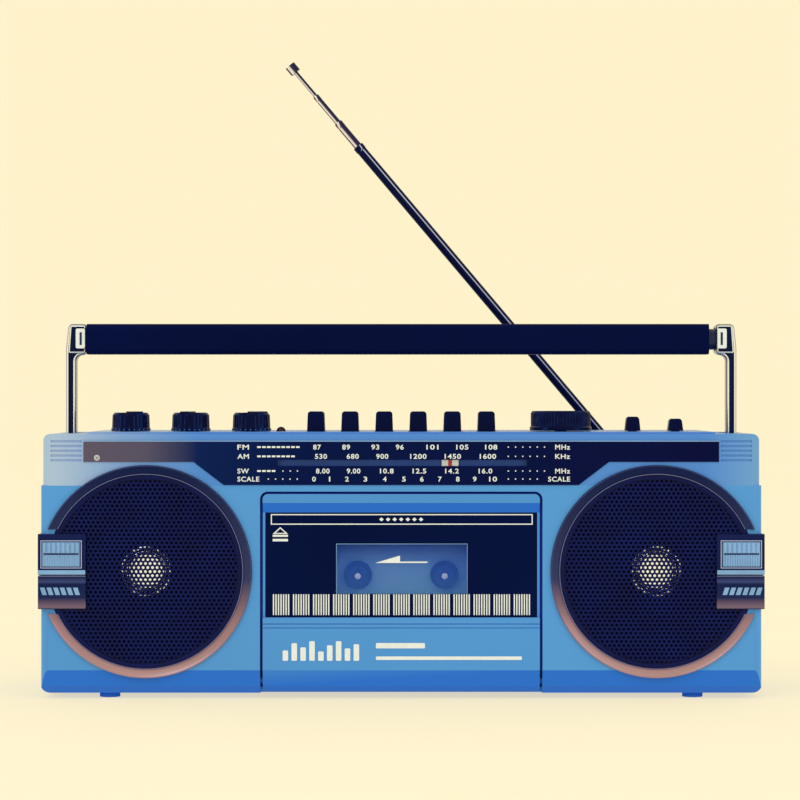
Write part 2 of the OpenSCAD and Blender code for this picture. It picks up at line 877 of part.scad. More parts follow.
module ferrite_aerial() {
    color("dimgray") {
        rod_x(-60, 60, 4, 34, 112);
        rod_x(-50, -30, 5, 34, 112);
        for (x = [-40, 40]) block([x - 2, 30, 106.6], [x + 2, 38, 110]);
    }
}

module power_transformer() {
    color("gray") {
        block([-130, 14, 5], [-92, 30, 15]);
        block([-125, 17, 14], [-97, 27, 40]);
    }
}

module battery_contacts() {
    color("silver") both_sides() for (z = [30, 66]) {
        block([bay_half_w - 0.6, 18, z - 12], [bay_half_w, 46, z + 12]);
        rod_x(bay_half_w - 4, bay_half_w - 0.5, 5, 32, z);
    }
}

module phone_jack() {
    color("black") difference() {
        union() {
            rod_x(hw - 14, hw + 0.5, 4.4, 26, 85);
            rod_x(hw - 14, hw - wall, 6, 26, 85);
        }
        rod_x(hw - 13.5, hw + cut, 1.8, 26, 85);
    }
}

module power_inlet() {
    color("black") {
        difference() {
            block([-125.8, 30, 16.2], [-98.2, hd, 31.8]);
            block([-121, 36, 18.7], [-103, hd + cut, 29.3]);
        }
        for (x = [-116.3, -107.7]) rod_y(35.5, 46, 1.1, x, 24);
    }
}

module battery_cover() {
    color("steelblue") difference() {
        block([lip_gap - bay_half_w, hd - wall, bay_low_z + lip_gap],
            [bay_half_w - lip_gap, hd, bay_top_z - lip_gap]);
        for (i = [0 : 5])
            block([-14, hd - 0.8, bay_top_z - 8 - 2.4 * i], [14, hd + cut, bay_top_z - 7 - 2.4 * i]);
    }
}

// ---- one line for each sub-part ----

front_cabinet();
rear_cabinet();
top_cover();
dial_panel();
dial_backing();
pointer_rail();
speaker_rings();
speaker_grille_left();
speaker_grille_right();
side_trims();
badge_plates();
speaker_baskets();
speaker_cones();
handle_pivots();
power_led();
potentiometers();
key_shaft();
mech_chassis();
motor();
drive_belt();
main_board();
ferrite_aerial();
power_transformer();
battery_contacts();
phone_jack();
power_inlet();
feet();
cabinet_screws();
handle_arm_left();
handle_arm_right();
handle_grip();
handle_core();
aerial_swivel();
aerial_base_tube();
aerial_middle_tube();
aerial_upper_tube();
aerial_tip();
key_record();
key_play();
key_rewind();
key_fast_forward();
key_stop();
key_pause();
volume_knob();
tone_knob();
balance_knob();
tuning_knob();
tuning_drum();
dial_pointer();
function_switch();
band_switch();
door_frame();
door_window();
cassette_holder();
battery_cover();
take_up_spindle();
supply_spindle();
flywheel();
motor_pulley();
head_carriage();
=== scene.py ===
import json
import math
import bmesh
import bpy
from mathutils import Matrix, Vector


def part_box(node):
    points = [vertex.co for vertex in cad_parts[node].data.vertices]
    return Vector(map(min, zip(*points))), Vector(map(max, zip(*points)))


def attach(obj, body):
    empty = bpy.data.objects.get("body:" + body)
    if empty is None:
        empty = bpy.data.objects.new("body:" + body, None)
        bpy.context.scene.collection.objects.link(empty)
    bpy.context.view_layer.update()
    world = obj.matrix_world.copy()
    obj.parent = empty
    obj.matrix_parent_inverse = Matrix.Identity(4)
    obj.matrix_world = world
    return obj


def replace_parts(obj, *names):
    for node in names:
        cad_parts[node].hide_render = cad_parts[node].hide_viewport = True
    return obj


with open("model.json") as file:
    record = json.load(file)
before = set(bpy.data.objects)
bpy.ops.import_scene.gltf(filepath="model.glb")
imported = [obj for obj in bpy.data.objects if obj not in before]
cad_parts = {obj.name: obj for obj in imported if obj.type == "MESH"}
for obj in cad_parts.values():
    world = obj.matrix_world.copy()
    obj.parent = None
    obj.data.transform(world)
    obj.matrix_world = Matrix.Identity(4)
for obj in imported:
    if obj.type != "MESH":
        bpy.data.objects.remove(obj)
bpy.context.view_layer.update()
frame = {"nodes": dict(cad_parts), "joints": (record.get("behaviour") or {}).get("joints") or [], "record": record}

MM = 0.001
JOINTS = {joint["name"]: joint for joint in frame["joints"]}

# Places that the pieces are worked out from, all in metres
PANEL_LOW, PANEL_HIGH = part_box("dial_panel")
LENS_LOW, LENS_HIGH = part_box("door_window")
DOOR_LOW, DOOR_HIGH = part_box("door_frame")
TRIM_LOW, TRIM_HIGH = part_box("side_trims")
BADGE_LOW, BADGE_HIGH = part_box("badge_plates")
RING_LOW, RING_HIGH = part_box("speaker_rings")
GRILLE_LOW, GRILLE_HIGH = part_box("speaker_grille_right")
POINTER_LOW, POINTER_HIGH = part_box("dial_pointer")
FRONT_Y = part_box("front_cabinet")[0].y
SPEAKER = Vector(((GRILLE_LOW.x + GRILLE_HIGH.x) / 2, 0, (GRILLE_LOW.z + GRILLE_HIGH.z) / 2))
GRILLE_R = (GRILLE_HIGH.z - GRILLE_LOW.z) / 2
RING_R = (RING_HIGH.z - RING_LOW.z) / 2
PRINT = 0.06 * MM  # thickness of printed marks


# ---- materials ----

class Graph:
    """A new material's nodes, with short calls to add and join them."""

    def __init__(self, name):
        self.name = name
        self.material = bpy.data.materials.new(name)
        self.material.use_nodes = True
        self.tree = self.material.node_tree
        self.shader = self.tree.nodes["Principled BSDF"]

    def add(self, kind, **settings):
        """A new node, with its properties or its input values set."""
        made = self.tree.nodes.new("ShaderNode" + kind)
        for key, value in settings.items():
            if hasattr(made, key):
                setattr(made, key, value)
            else:
                made.inputs[key.replace("_", " ").title()].default_value = value
        return made

    def join(self, source, output, target, socket):
        self.tree.links.new(source.outputs[output], target.inputs[socket])

    def paint(self, source, output):
        """Makes this output the finish's colour."""
        self.colour = (source, output)
        self.join(source, output, self.shader, "Base Color")

    def blend(self, amount, colour):
        """Mixes a plain colour over the finish where the amount is high."""
        made = self.add("Mix", data_type="RGBA")
        self.join(*self.colour, made, 6)
        self.join(amount, "Color", made, "Factor")
        made.inputs[7].default_value = (*colour, 1)
        self.paint(made, 2)

    def tint(self, bands):
        """Takes the bands' colour, varied a little by the finish's own patches."""
        varied = self.add("Mix", data_type="RGBA", blend_type="OVERLAY")
        varied.inputs["Factor"].default_value = 0.6
        self.join(bands, "Color", varied, 6)
        self.join(*self.colour, varied, 7)
        self.paint(varied, 2)

    def facing(self, axis):
        """How far the face turns along an axis, as 0 to 1."""
        shape = self.add("NewGeometry")
        split = self.add("SeparateXYZ")
        level = self.add("MapRange")
        level.inputs["From Min"].default_value = -1
        self.join(shape, "Normal", split, "Vector")
        self.join(split, axis, level, "Value")
        return level

    def ramp(self, stops):
        """A colour ramp through (place, colour) stops."""
        made = self.add("ValToRGB")
        ramp = made.color_ramp
        while len(ramp.elements) < len(stops):
            ramp.elements.new(0.5)
        for element, (place, colour) in zip(ramp.elements, stops):
            element.position = place
            element.color = (*colour, 1)
        return made


def shade(colour, factor):
    """The colour made lighter or darker."""
    return tuple(min(1.0, max(0.0, channel * factor)) for channel in colour)


def surface(name, colour, rough=0.4, metal=0.0, vary=0.1, patch=14, grain=900, bump=0.08,
            depth=0.02 * MM, wear=0.0, coat=0.0, specular=0.3, alpha=1.0, stretch=(1, 1, 1)):
    """Moulded or metal finish: patchy colour, fine grain, uneven gloss and rubbed edges."""
    g = Graph(name)
    place = g.add("TexCoord")
    stretched = g.add("Mapping")
    stretched.inputs["Scale"].default_value = stretch
    g.join(place, "Object", stretched, "Vector")
    blotch = g.add("TexNoise", scale=patch, detail=4.0)
    g.join(place, "Object", blotch, "Vector")
    tint = g.ramp([(0.3, shade(colour, 1 - vary)), (0.7, shade(colour, 1 + vary))])
    g.join(blotch, "Fac", tint, "Fac")
    g.paint(tint, "Color")
    if wear:
        shape = g.add("NewGeometry")
        edge = g.ramp([(0.52, (0, 0, 0)), (0.60, (wear, wear, wear))])
        g.join(shape, "Pointiness", edge, "Fac")
        g.blend(edge, tuple(min(1.0, c * 1.5 + 0.02) for c in colour))
    fine = g.add("TexNoise", scale=grain, detail=3.0)
    g.join(stretched, "Vector", fine, "Vector")
    gloss = g.add("MapRange")
    gloss.inputs["To Min"].default_value = rough * 0.82
    gloss.inputs["To Max"].default_value = min(1.0, rough * 1.2)
    g.join(blotch, "Fac", gloss, "Value")
    g.join(gloss, "Result", g.shader, "Roughness")
    raised = g.add("Bump", strength=bump, distance=depth)
    g.join(fine, "Fac", raised, "Height")
    g.join(raised, "Normal", g.shader, "Normal")
    g.shader.inputs["Metallic"].default_value = metal
    g.shader.inputs["Coat Weight"].default_value = coat
    g.shader.inputs["Specular IOR Level"].default_value = specular
    g.shader.inputs["Alpha"].default_value = alpha
    return g


def banded(name, axis, low, high, stops, **settings):
    """A finish whose colour runs through the stops from low to high along an axis."""
    g = surface(name, (0.5, 0.5, 0.5), **settings)
    place = g.add("TexCoord")
    split = g.add("SeparateXYZ")
    along = g.add("MapRange")
    along.inputs["From Min"].default_value = low
    along.inputs["From Max"].default_value = high
    bands = g.ramp(stops)
    g.join(place, "Object", split, "Vector")
    g.join(split, axis, along, "Value")
    g.join(along, "Result", bands, "Fac")
    g.tint(bands)
    return g


def turned_to(name, axis, stops, **settings):
    """A finish whose colour follows how far its face turns along an axis, from -1 to 1: painted highlights and
    reflections that keep to the way the face points.
    """
    g = surface(name, (0.5, 0.5, 0.5), **settings)
    bands = g.ramp([((place + 1) / 2, colour) for place, colour in stops])
    g.join(g.facing(axis), "Result", bands, "Fac")
    g.tint(bands)
    return g


def undershade(g, shade_colour, start=-0.10, end=-0.26):
    """Paints shade on the faces that turn downwards, deepening their colour."""
    under = g.ramp([((end + 1) / 2, (1, 1, 1)), ((start + 1) / 2, (0, 0, 0))])
    g.join(g.facing("Z"), "Result", under, "Fac")
    g.blend(under, shade_colour)
    return g


NAVY = (0.0004, 0.0065, 0.072)
BLACK = (0.0002, 0.0034, 0.046)
BLUE = (0.068, 0.288, 0.800)
# colour of the painted shade on faces that turn downwards
UNDER_SHADE_BLUE = (0.012, 0.155, 0.800)
COVER_BLUE = (0.068, 0.250, 0.800)
# pale colour of a painted glare on the cover's left end
PAINTED_GLARE = (0.370, 0.530, 0.850)
SKY = (1.0, 0.890, 0.600)
WHITE = (0.77, 0.86, 1.0)
STEEL = (0.30, 0.31, 0.36)

CABINET = surface("cabinet_blue", BLUE, 0.36, vary=0.05, patch=9, bump=0.10, wear=0.2,
                  specular=0.2)
# the cover's colour runs along X: a painted glare at its left end, and its right end a little paler
COVER = banded("cover_blue", "X", -175 * MM, 175 * MM,
               [(0.02, PAINTED_GLARE), (0.11, (0.19, 0.36, 0.81)), (0.22, COVER_BLUE), (0.92, COVER_BLUE),
                (1.0, (0.14, 0.36, 0.79))], rough=0.34, vary=0.05, patch=9, bump=0.10)
FINISH = {made.name: made for made in (
    # painted shade: the cabinet's and the cover's downward faces are deepened in colour
    undershade(CABINET, UNDER_SHADE_BLUE),
    undershade(COVER, UNDER_SHADE_BLUE),
    # painted glare: the dial's left wing is brownish, fading to navy; the right end is a little darker
    banded("dial_navy", "X", -154 * MM, 154 * MM,
           [(0.02, (0.105, 0.090, 0.165)), (0.10, (0.085, 0.080, 0.160)),
            (0.18, (0.002, 0.014, 0.11)), (0.34, NAVY), (1.0, (0.0012, 0.0030, 0.052))],
           rough=0.14, vary=0.1, bump=0.02, specular=0.04),
    surface("dial_strip", (0.014, 0.085, 0.50), 0.4, vary=0.2, patch=40),
    surface("bright_metal", (0.62, 0.62, 0.66), 0.22, metal=1.0, vary=0.06,
            stretch=(1, 1, 12), bump=0.04),
    # painted reflections: dark where the arm faces the front, a bright line and a dark rim on the rounded edges
    turned_to("arm_chrome", "Y",
              [(-0.975, (0.002, 0.007, 0.060)), (-0.93, (0.90, 0.95, 1.00)),
               (-0.72, (0.80, 0.86, 1.00)), (-0.62, (0.010, 0.016, 0.085)),
               (0.30, (0.010, 0.016, 0.085)), (0.60, (0.55, 0.58, 0.70)),
               (1.0, (0.03, 0.04, 0.10))],
              rough=0.18, metal=0.8, vary=0.06, bump=0.03),
    # painted highlight: a bright line down one flank of each aerial section, by the way the face points
    turned_to("aerial_chrome", "X",
              [(-0.75, (0.02, 0.02, 0.07)), (-0.60, (0.06, 0.05, 0.10)),
               (-0.48, (0.95, 0.92, 1.00)), (-0.20, (0.70, 0.62, 0.72)),
               (-0.05, (0.03, 0.03, 0.09)), (0.60, (0.008, 0.010, 0.06)),
               (1.0, (0.06, 0.06, 0.10))],
              rough=0.20, metal=0.8, vary=0.06, stretch=(1, 1, 12), bump=0.03),
    # painted light and shade: the rings are pale rose low down and dark navy at the top
    banded("ring_metal", "Z", SPEAKER.z - RING_R, SPEAKER.z + RING_R,
           [(0.0, (0.42, 0.27, 0.32)), (0.25, (0.33, 0.20, 0.26)),
            (0.46, (0.035, 0.045, 0.16)), (1.0, (0.004, 0.012, 0.085))],
           rough=0.30, metal=0.6, vary=0.08, bump=0.05, specular=0.15),
    surface("grille_navy", (0.0003, 0.0045, 0.085), 0.40, vary=0.25, patch=60,
            specular=0.12),
    surface("trim_navy", (0.0010, 0.0070, 0.085), 0.22, vary=0.15, wear=0.15, specular=0.12),
    surface("basket_steel", (0.03, 0.035, 0.06), 0.5, metal=0.5),
    surface("cone_navy", (0.0008, 0.0060, 0.080), 0.8, grain=500, bump=0.5, specular=0.1),
    surface("led_red", (0.016, 0.003, 0.014), 0.12, vary=0.15),
    surface("mech_steel", STEEL, 0.35, metal=1.0, stretch=(1, 1, 14), bump=0.08),
    # painted light and shade in the cassette bay: pale and bright low down, darker at the top
    banded("chassis_blue", "Z", 48 * MM, 76 * MM,
           [(0.0, (0.36, 0.74, 1.0)), (0.5, (0.32, 0.68, 1.0)), (1.0, (0.04, 0.12, 0.72))],
           rough=0.5, vary=0.12, patch=30),
    surface("belt_rubber", (0.02, 0.02, 0.022), 0.75, grain=1500, bump=0.3),
    surface("board_green", (0.02, 0.16, 0.08), 0.4, vary=0.3, patch=120),
    surface("ferrite", (0.06, 0.06, 0.065), 0.65, vary=0.2, bump=0.3),
    surface("socket_black", (0.004, 0.007, 0.03), 0.45, bump=0.15, specular=0.15),
    surface("feet_blue", (0.015, 0.130, 0.68), 0.7, grain=1400, bump=0.3, specular=0.1),
    surface("grip_black", (0.0004, 0.0034, 0.050), 0.50, vary=0.2, grain=700, bump=0.45,
            depth=0.06 * MM, specular=0.03),
    surface("core_steel", (0.02, 0.03, 0.10), 0.3, metal=0.6),
    # painted highlight: a narrow bright line along the black tube, by the way the face points
    turned_to("tube_black", "X",
              [(0.16, (0.0004, 0.0034, 0.045)), (0.22, (0.45, 0.50, 0.80)),
               (0.31, (0.45, 0.50, 0.80)), (0.38, (0.0004, 0.0034, 0.045))],
              rough=0.30, vary=0.1, specular=0.06, stretch=(1, 1, 8)),
    surface("key_black", BLACK, 0.28, vary=0.2, wear=0.1, bump=0.05, specular=0.04),
    # painted highlights: thin pale stripes on the knobs' flanks, by the way the face points
    turned_to("knob_black", "X",
              [(-1.0, (0.010, 0.020, 0.090)), (-0.86, BLACK), (-0.66, BLACK),
               (-0.56, (0.012, 0.035, 0.17)), (-0.44, BLACK), (0.30, BLACK),
               (0.50, (0.006, 0.022, 0.13)), (0.62, BLACK), (0.88, BLACK),
               (1.0, (0.010, 0.020, 0.090))],
              rough=0.30, vary=0.2, wear=0.1, bump=0.06, specular=0.06),
    # painted highlights for the glints round the knobs' skirts
    surface("knob_glints", (0.02, 0.12, 0.50), 0.4, vary=0.1),
    surface("drum_plastic", (0.75, 0.72, 0.62), 0.5),
    surface("pointer_red", (0.50, 0.035, 0.05), 0.3, vary=0.1),
    surface("window_smoke", (0.0003, 0.0050, 0.058), 0.10, vary=0.15, bump=0.02,
            specular=0.03),
    surface("holder_plastic", (0.01, 0.03, 0.14), 0.5),
    surface("spindle_navy", (0.0015, 0.006, 0.055), 0.45, vary=0.2, specular=0.15),
    surface("brass", (0.72, 0.52, 0.22), 0.25, metal=1.0, stretch=(1, 12, 1)),
    surface("print_white", WHITE, 0.5, vary=0.04, patch=300, bump=0.1),
    # painted shade: the clear pane darkens towards its top
    banded("pane_blue", "Z", 50 * MM, 76 * MM,
           [(0.0, (0.06, 0.24, 1.0)), (0.6, (0.03, 0.16, 1.0)), (1.0, (0.002, 0.03, 0.35))],
           rough=0.12, vary=0.15, patch=25, bump=0.02, alpha=0.21, specular=0.1),
    surface("inlay_blue", (0.200, 0.400, 0.80), 0.3, vary=0.12, patch=60),
    # painted shade for the gap round the door
    surface("gap_shade_navy", (0.003, 0.018, 0.30), 0.6, specular=0.1),
    surface("line_silver", (0.42, 0.50, 0.90), 0.3, metal=0.2, vary=0.08),
    surface("bead_silver", (0.16, 0.19, 0.46), 0.3, metal=0.3, vary=0.08),
    surface("cap_aluminium", (0.86, 0.93, 1.0), 0.14, metal=1.0, vary=0.02),
    # painted reflections: pale warm bands low down and a bright line at the badge's top edge
    banded("badge_metal", "Z", BADGE_LOW.z, BADGE_HIGH.z,
           [(0.0, (0.004, 0.010, 0.07)), (0.05, (0.18, 0.13, 0.22)),
            (0.22, (0.09, 0.065, 0.15)), (0.34, (0.008, 0.018, 0.11)),
            (0.74, (0.004, 0.012, 0.09)), (0.82, (0.04, 0.06, 0.22)),
            (0.96, (0.004, 0.010, 0.08)), (1.0, (0.30, 0.33, 0.65))],
           rough=0.22, metal=0.3, vary=0.08, bump=0.04, specular=0.12),
)}


# ---- building pieces ----

def piece(name, verts, faces, finish, body, smooth=False):
    """A new mesh piece that rides on a body."""
    mesh = bpy.data.meshes.new(name)
    mesh.from_pydata([tuple(v) for v in verts], [], faces)
    mesh.validate()
    shell = bmesh.new()
    shell.from_mesh(mesh)
    bmesh.ops.recalc_face_normals(shell, faces=shell.faces)
    shell.to_mesh(mesh)
    shell.free()
    made = bpy.data.objects.new(name, mesh)
    bpy.context.scene.collection.objects.link(made)
    mesh.materials.append(FINISH[finish].material)
    if smooth:
        mesh.polygons.foreach_set("use_smooth", [True] * len(mesh.polygons))
        mesh.set_sharp_from_angle(angle=math.radians(35))
    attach(made, body)
    return made


class Solid:
    """Vertices and faces gathered from several simple shapes."""

    def __init__(self):
        self.verts = []
        self.faces = []

    def add(self, verts, faces):
        start = len(self.verts)
        self.verts += [Vector(v) for v in verts]
        self.faces += [tuple(start + i for i in face) for face in faces]

    def box(self, low, high):
        x, y, z = zip(low, high)
        corners = [(x[i], y[j], z[k]) for i in (0, 1) for j in (0, 1) for k in (0, 1)]
        self.add(corners, [(0, 1, 3, 2), (4, 6, 7, 5), (0, 4, 5, 1), (2, 3, 7, 6),
                           (0, 2, 6, 4), (1, 5, 7, 3)])

    def plate(self, outline, front, back):
        """An outline of (x, z) points, seen from the front anticlockwise, as a thin plate."""
        n = len(outline)
        self.add([(x, front, z) for x, z in outline] + [(x, back, z) for x, z in outline],
                 [tuple(range(n)), tuple(range(2 * n - 1, n - 1, -1))]
                 + [(i, i + n, (i + 1) % n + n, (i + 1) % n) for i in range(n)])

    def lathe(self, profile, matrix, steps=64, radius=lambda r, z, a: r, hollow=False):
        """A profile of (r, z) points turned about the local Z axis.
        A hollow one is a ring, its profile closed on itself."""
        n = len(profile)
        verts = []
        for s in range(steps):
            a = 2 * math.pi * s / steps
            for r, z in profile:
                reach = radius(r, z, a)
                verts.append(matrix @ Vector((reach * math.cos(a), reach * math.sin(a), z)))
        faces = []
        for s in range(steps):
            here, there = s * n, (s + 1) % steps * n
            faces += [(here + i, there + i, there + (i + 1) % n, here + (i + 1) % n)
                      for i in range(n if hollow else n - 1)]
        if not hollow:
            faces.append(tuple(s * n for s in reversed(range(steps))))
            faces.append(tuple(s * n + n - 1 for s in range(steps)))
        self.add(verts, faces)

    def loft(self, levels):
        """Level outlines, each ((x, y) points, z), joined from the lowest to the top."""
        n = len(levels[0][0])
        faces = [tuple(reversed(range(n))), tuple(range(n * (len(levels) - 1), n * len(levels)))]
        for k in range(len(levels) - 1):
            here, above = k * n, (k + 1) * n
            faces += [(here + i, here + (i + 1) % n, above + (i + 1) % n, above + i) for i in range(n)]
        self.add([(x, y, z) for outline, z in levels for x, y in outline], faces)

    def mirrored(self):
        other = Solid()
        other.add([(-v.x, v.y, v.z) for v in self.verts], [face[::-1] for face in self.faces])
        return other

    def piece(self, name, finish, body, slot=None, smooth=False):
        return piece(name, self.verts, self.faces, finish, body, smooth)


def both_sides(solid, name, finish, body, **settings):
    """The solid as a piece on the right, and its mirror image on the left."""
    solid.piece(name + "_right", finish, body, **settings)
    solid.mirrored().piece(name + "_left", finish, body, **settings)


def arc(x, z, r, start, end, steps=8):
    """Points on an arc in the front view, angles in degrees from +X towards +Z."""
    turns = [math.radians(start + (end - start) * i / steps) for i in range(steps + 1)]
    return [(x + r * math.cos(t), z + r * math.sin(t)) for t in turns]


def rounded(x0, z0, x1, z1, r):
    """A rectangle's outline with rounded corners."""
    return (arc(x1 - r, z0 + r, r, -90, 0, 4) + arc(x1 - r, z1 - r, r, 0, 90, 4)
            + arc(x0 + r, z1 - r, r, 90, 180, 4) + arc(x0 + r, z0 + r, r, 180, 270, 4))


# ---- the CAD nodes' finishes and edges ----

def dress_nodes():
    """Gives each CAD node its slot's finish, or its own where the slot's is too general."""
    slots = {s["node"]: s["material_slot"] for s in frame["record"]["subparts"]}
    own = {"handle_arm_left": "arm_chrome", "handle_arm_right": "arm_chrome",
           "mech_chassis": "chassis_blue", "badge_plates": "badge_metal",
           "dial_pointer": "print_white", "side_trims": "trim_navy",
           "aerial_swivel": "aerial_chrome",
           "aerial_middle_tube": "aerial_chrome", "aerial_upper_tube": "aerial_chrome",
           "aerial_tip": "aerial_chrome"}
    for name, node in frame["nodes"].items():
        finish = FINISH[own.get(name, slots[name])].material
        if node.material_slots:
            for holder in node.material_slots:
                holder.material = finish
        else:
            node.data.materials.append(finish)


def soften(width, *names):
    """Rounds the edges of simple CAD nodes as moulding does."""
    for name in names:
        node = frame["nodes"][name]
        weld = node.modifiers.new("weld", "WELD")
        weld.merge_threshold = 0.001 * MM
        bevel = node.modifiers.new("bevel", "BEVEL")
        bevel.width = width
        bevel.segments = 3
        bevel.limit_method = "ANGLE"
        bevel.angle_limit = math.radians(40)
        bevel.use_clamp_overlap = True
        bevel.harden_normals = True


# ---- dial ----

CAP_SHARE = 0.70  # a capital letter's height as a share of the font's size
WIDEST = 1.5  # the most that a word is stretched


def lettering(solid, words, x, z, height, front, width, align="LEFT"):
    """Adds a word as a thin raised print of a given width on a front face."""
    curve = bpy.data.curves.new("word", "FONT")
    curve.body = words
    curve.size = height / CAP_SHARE
    curve.offset = 0.06 * MM
    curve.extrude = PRINT / 2
    curve.resolution_u = 4
    curve.space_character = 1.12
    holder = bpy.data.objects.new("word", curve)
    bpy.context.scene.collection.objects.link(holder)
    bpy.context.view_layer.update()
    mesh = bpy.data.meshes.new_from_object(holder.evaluated_get(
        bpy.context.evaluated_depsgraph_get()))
    shell = bmesh.new()
    shell.from_mesh(mesh)
    bmesh.ops.remove_doubles(shell, verts=shell.verts, dist=0.002 * MM)
    shell.to_mesh(mesh)
    shell.free()
    left = min(v.co.x for v in mesh.vertices)
    natural = max(v.co.x for v in mesh.vertices) - left
    width = min(width, WIDEST * natural)
    start = x - width * {"LEFT": 0, "CENTER": 0.5, "RIGHT": 1}[align]
    stand = (Matrix.Translation((start, front, z)) @ Matrix.Rotation(math.pi / 2, 4, "X")
             @ Matrix.Diagonal((width / natural, 1, 1, 1)) @ Matrix.Translation((-left, 0, 0)))
    solid.add([stand @ v.co for v in mesh.vertices], [tuple(p.vertices) for p in mesh.polygons])
    bpy.data.objects.remove(holder)
    bpy.data.curves.remove(curve)
    bpy.data.meshes.remove(mesh)


DIGIT_PITCH, POINT_PITCH, DIGIT_GAP = 2.05 * MM, 0.75 * MM, 0.3 * MM


def figure_width(figure):
    digits = sum(c.isdigit() for c in figure)
    return DIGIT_PITCH * digits + POINT_PITCH * figure.count(".") - DIGIT_GAP


# each row's height, label, unit, figures and their places across the dial, in mm
DIAL_ROWS = {
    "fm": (122.2, "FM", "MHz", [87, 89, 93, 96, 101, 105, 108],
           [-40.8, -26.7, -12.6, -0.7, 15.1, 29.6, 43.6]),
    "am": (117.7, "AM", "KHz", [530, 680, 900, 1200, 1450, 1600],
           [-38.9, -23.5, -9.2, 8.3, 25.0, 42.0]),
    "sw": (110.6, "SW", "MHz", ["8.00", "9.00", "10.8", "12.5", "14.2", "16.0"],
           [-38.0, -23.1, -7.0, 8.8, 24.6, 40.8]),
    "scale": (106.7, "SCALE", "SCALE", range(11),
              [-42.3, -34.7, -26.3, -17.4, -8.0, 1.3, 10.0, 18.7, 27.4, 35.6, 44.5]),
}
LABEL_WIDTHS = {"FM": 5.6, "AM": 5.6, "SW": 5.6, "SCALE": 10.6, "MHz": 7.2, "KHz": 7.2}
LABELS_X, UNITS_X = -79.4, 81.8
DOT_PITCH, DOT_R = 3.5, 0.34
DASH_PITCH, DASH_LONG, DASH_HIGH = 2.35, 1.75, 0.84


def build_dial():
    """Printed scales, the pointer's red mark and the panel's bright top edge."""
    front = PANEL_LOW.y - PRINT / 2
    cap = 2.3 * MM
    print_work = Solid()
    for row, (z, label, unit, figures, places) in DIAL_ROWS.items():
        base = z * MM - cap / 2
        lettering(print_work, label, LABELS_X * MM, base, cap, front, LABEL_WIDTHS[label] * MM)
        lettering(print_work, unit, UNITS_X * MM, base, cap, front, LABEL_WIDTHS[unit] * MM, "RIGHT")
        for figure, x in zip(map(str, figures), places):
            lettering(print_work, figure, x * MM, base, cap, front, figure_width(figure), "CENTER")
        dots = [51.9 + DOT_PITCH * i for i in range(6 if row != "scale" else 5)]
        if row == "sw":
            dots += [-57.3 + DOT_PITCH * i for i in range(3)]
        if row == "scale":
            dots += [-64.4 + DOT_PITCH * i for i in range(5)]
        for x in dots:
            print_work.plate(arc(x * MM, z * MM, DOT_R * MM, 0, 360, 8)[:-1], front - PRINT, front)
    # short plain dashes where each band's long name would be
    for z, count in ((122.2, 9), (117.7, 8), (110.6, 4)):
        for i in range(count):
            x, half = (-69.8 + DASH_PITCH * i) * MM, DASH_HIGH / 2 * MM
            print_work.box((x, front - PRINT, z * MM - half), (x + DASH_LONG * MM, front, z * MM + half))
    # microphone mark: one ring in another
    for r in (0.75, 1.35):
        ring = arc(-147.5 * MM, 117 * MM, r * MM, 0, 360, 20)
        inner = arc(-147.5 * MM, 117 * MM, (r - 0.28) * MM, 0, 360, 20)
        for i in range(20):
            print_work.plate([ring[i], ring[i + 1], inner[i + 1], inner[i]], front - PRINT, front)
    print_work.piece("dial_lettering", "print_white", "cabinet", "dial_navy")

    mark = Solid()
    middle = (POINTER_LOW.x + POINTER_HIGH.x) / 2
    mark.box((middle - 0.9 * MM, POINTER_LOW.y - 0.25 * MM, PANEL_LOW.z + 8.4 * MM),
             (middle + 0.9 * MM, POINTER_LOW.y, POINTER_HIGH.z - 0.2 * MM))
    mark.piece("pointer_mark", "pointer_red", "pointer", "pointer_red")

    edge = Solid()
    low, high = PANEL_LOW, PANEL_HIGH
    edge.box((low.x, front - 0.05 * MM, high.z - 0.45 * MM), (high.x, low.y, high.z))
    edge.piece("dial_edge", "inlay_blue", "cabinet", "dial_navy")


# ---- speakers ----

HOLE_PITCH = 2.3 * MM
HOLE_R = 0.72 * MM


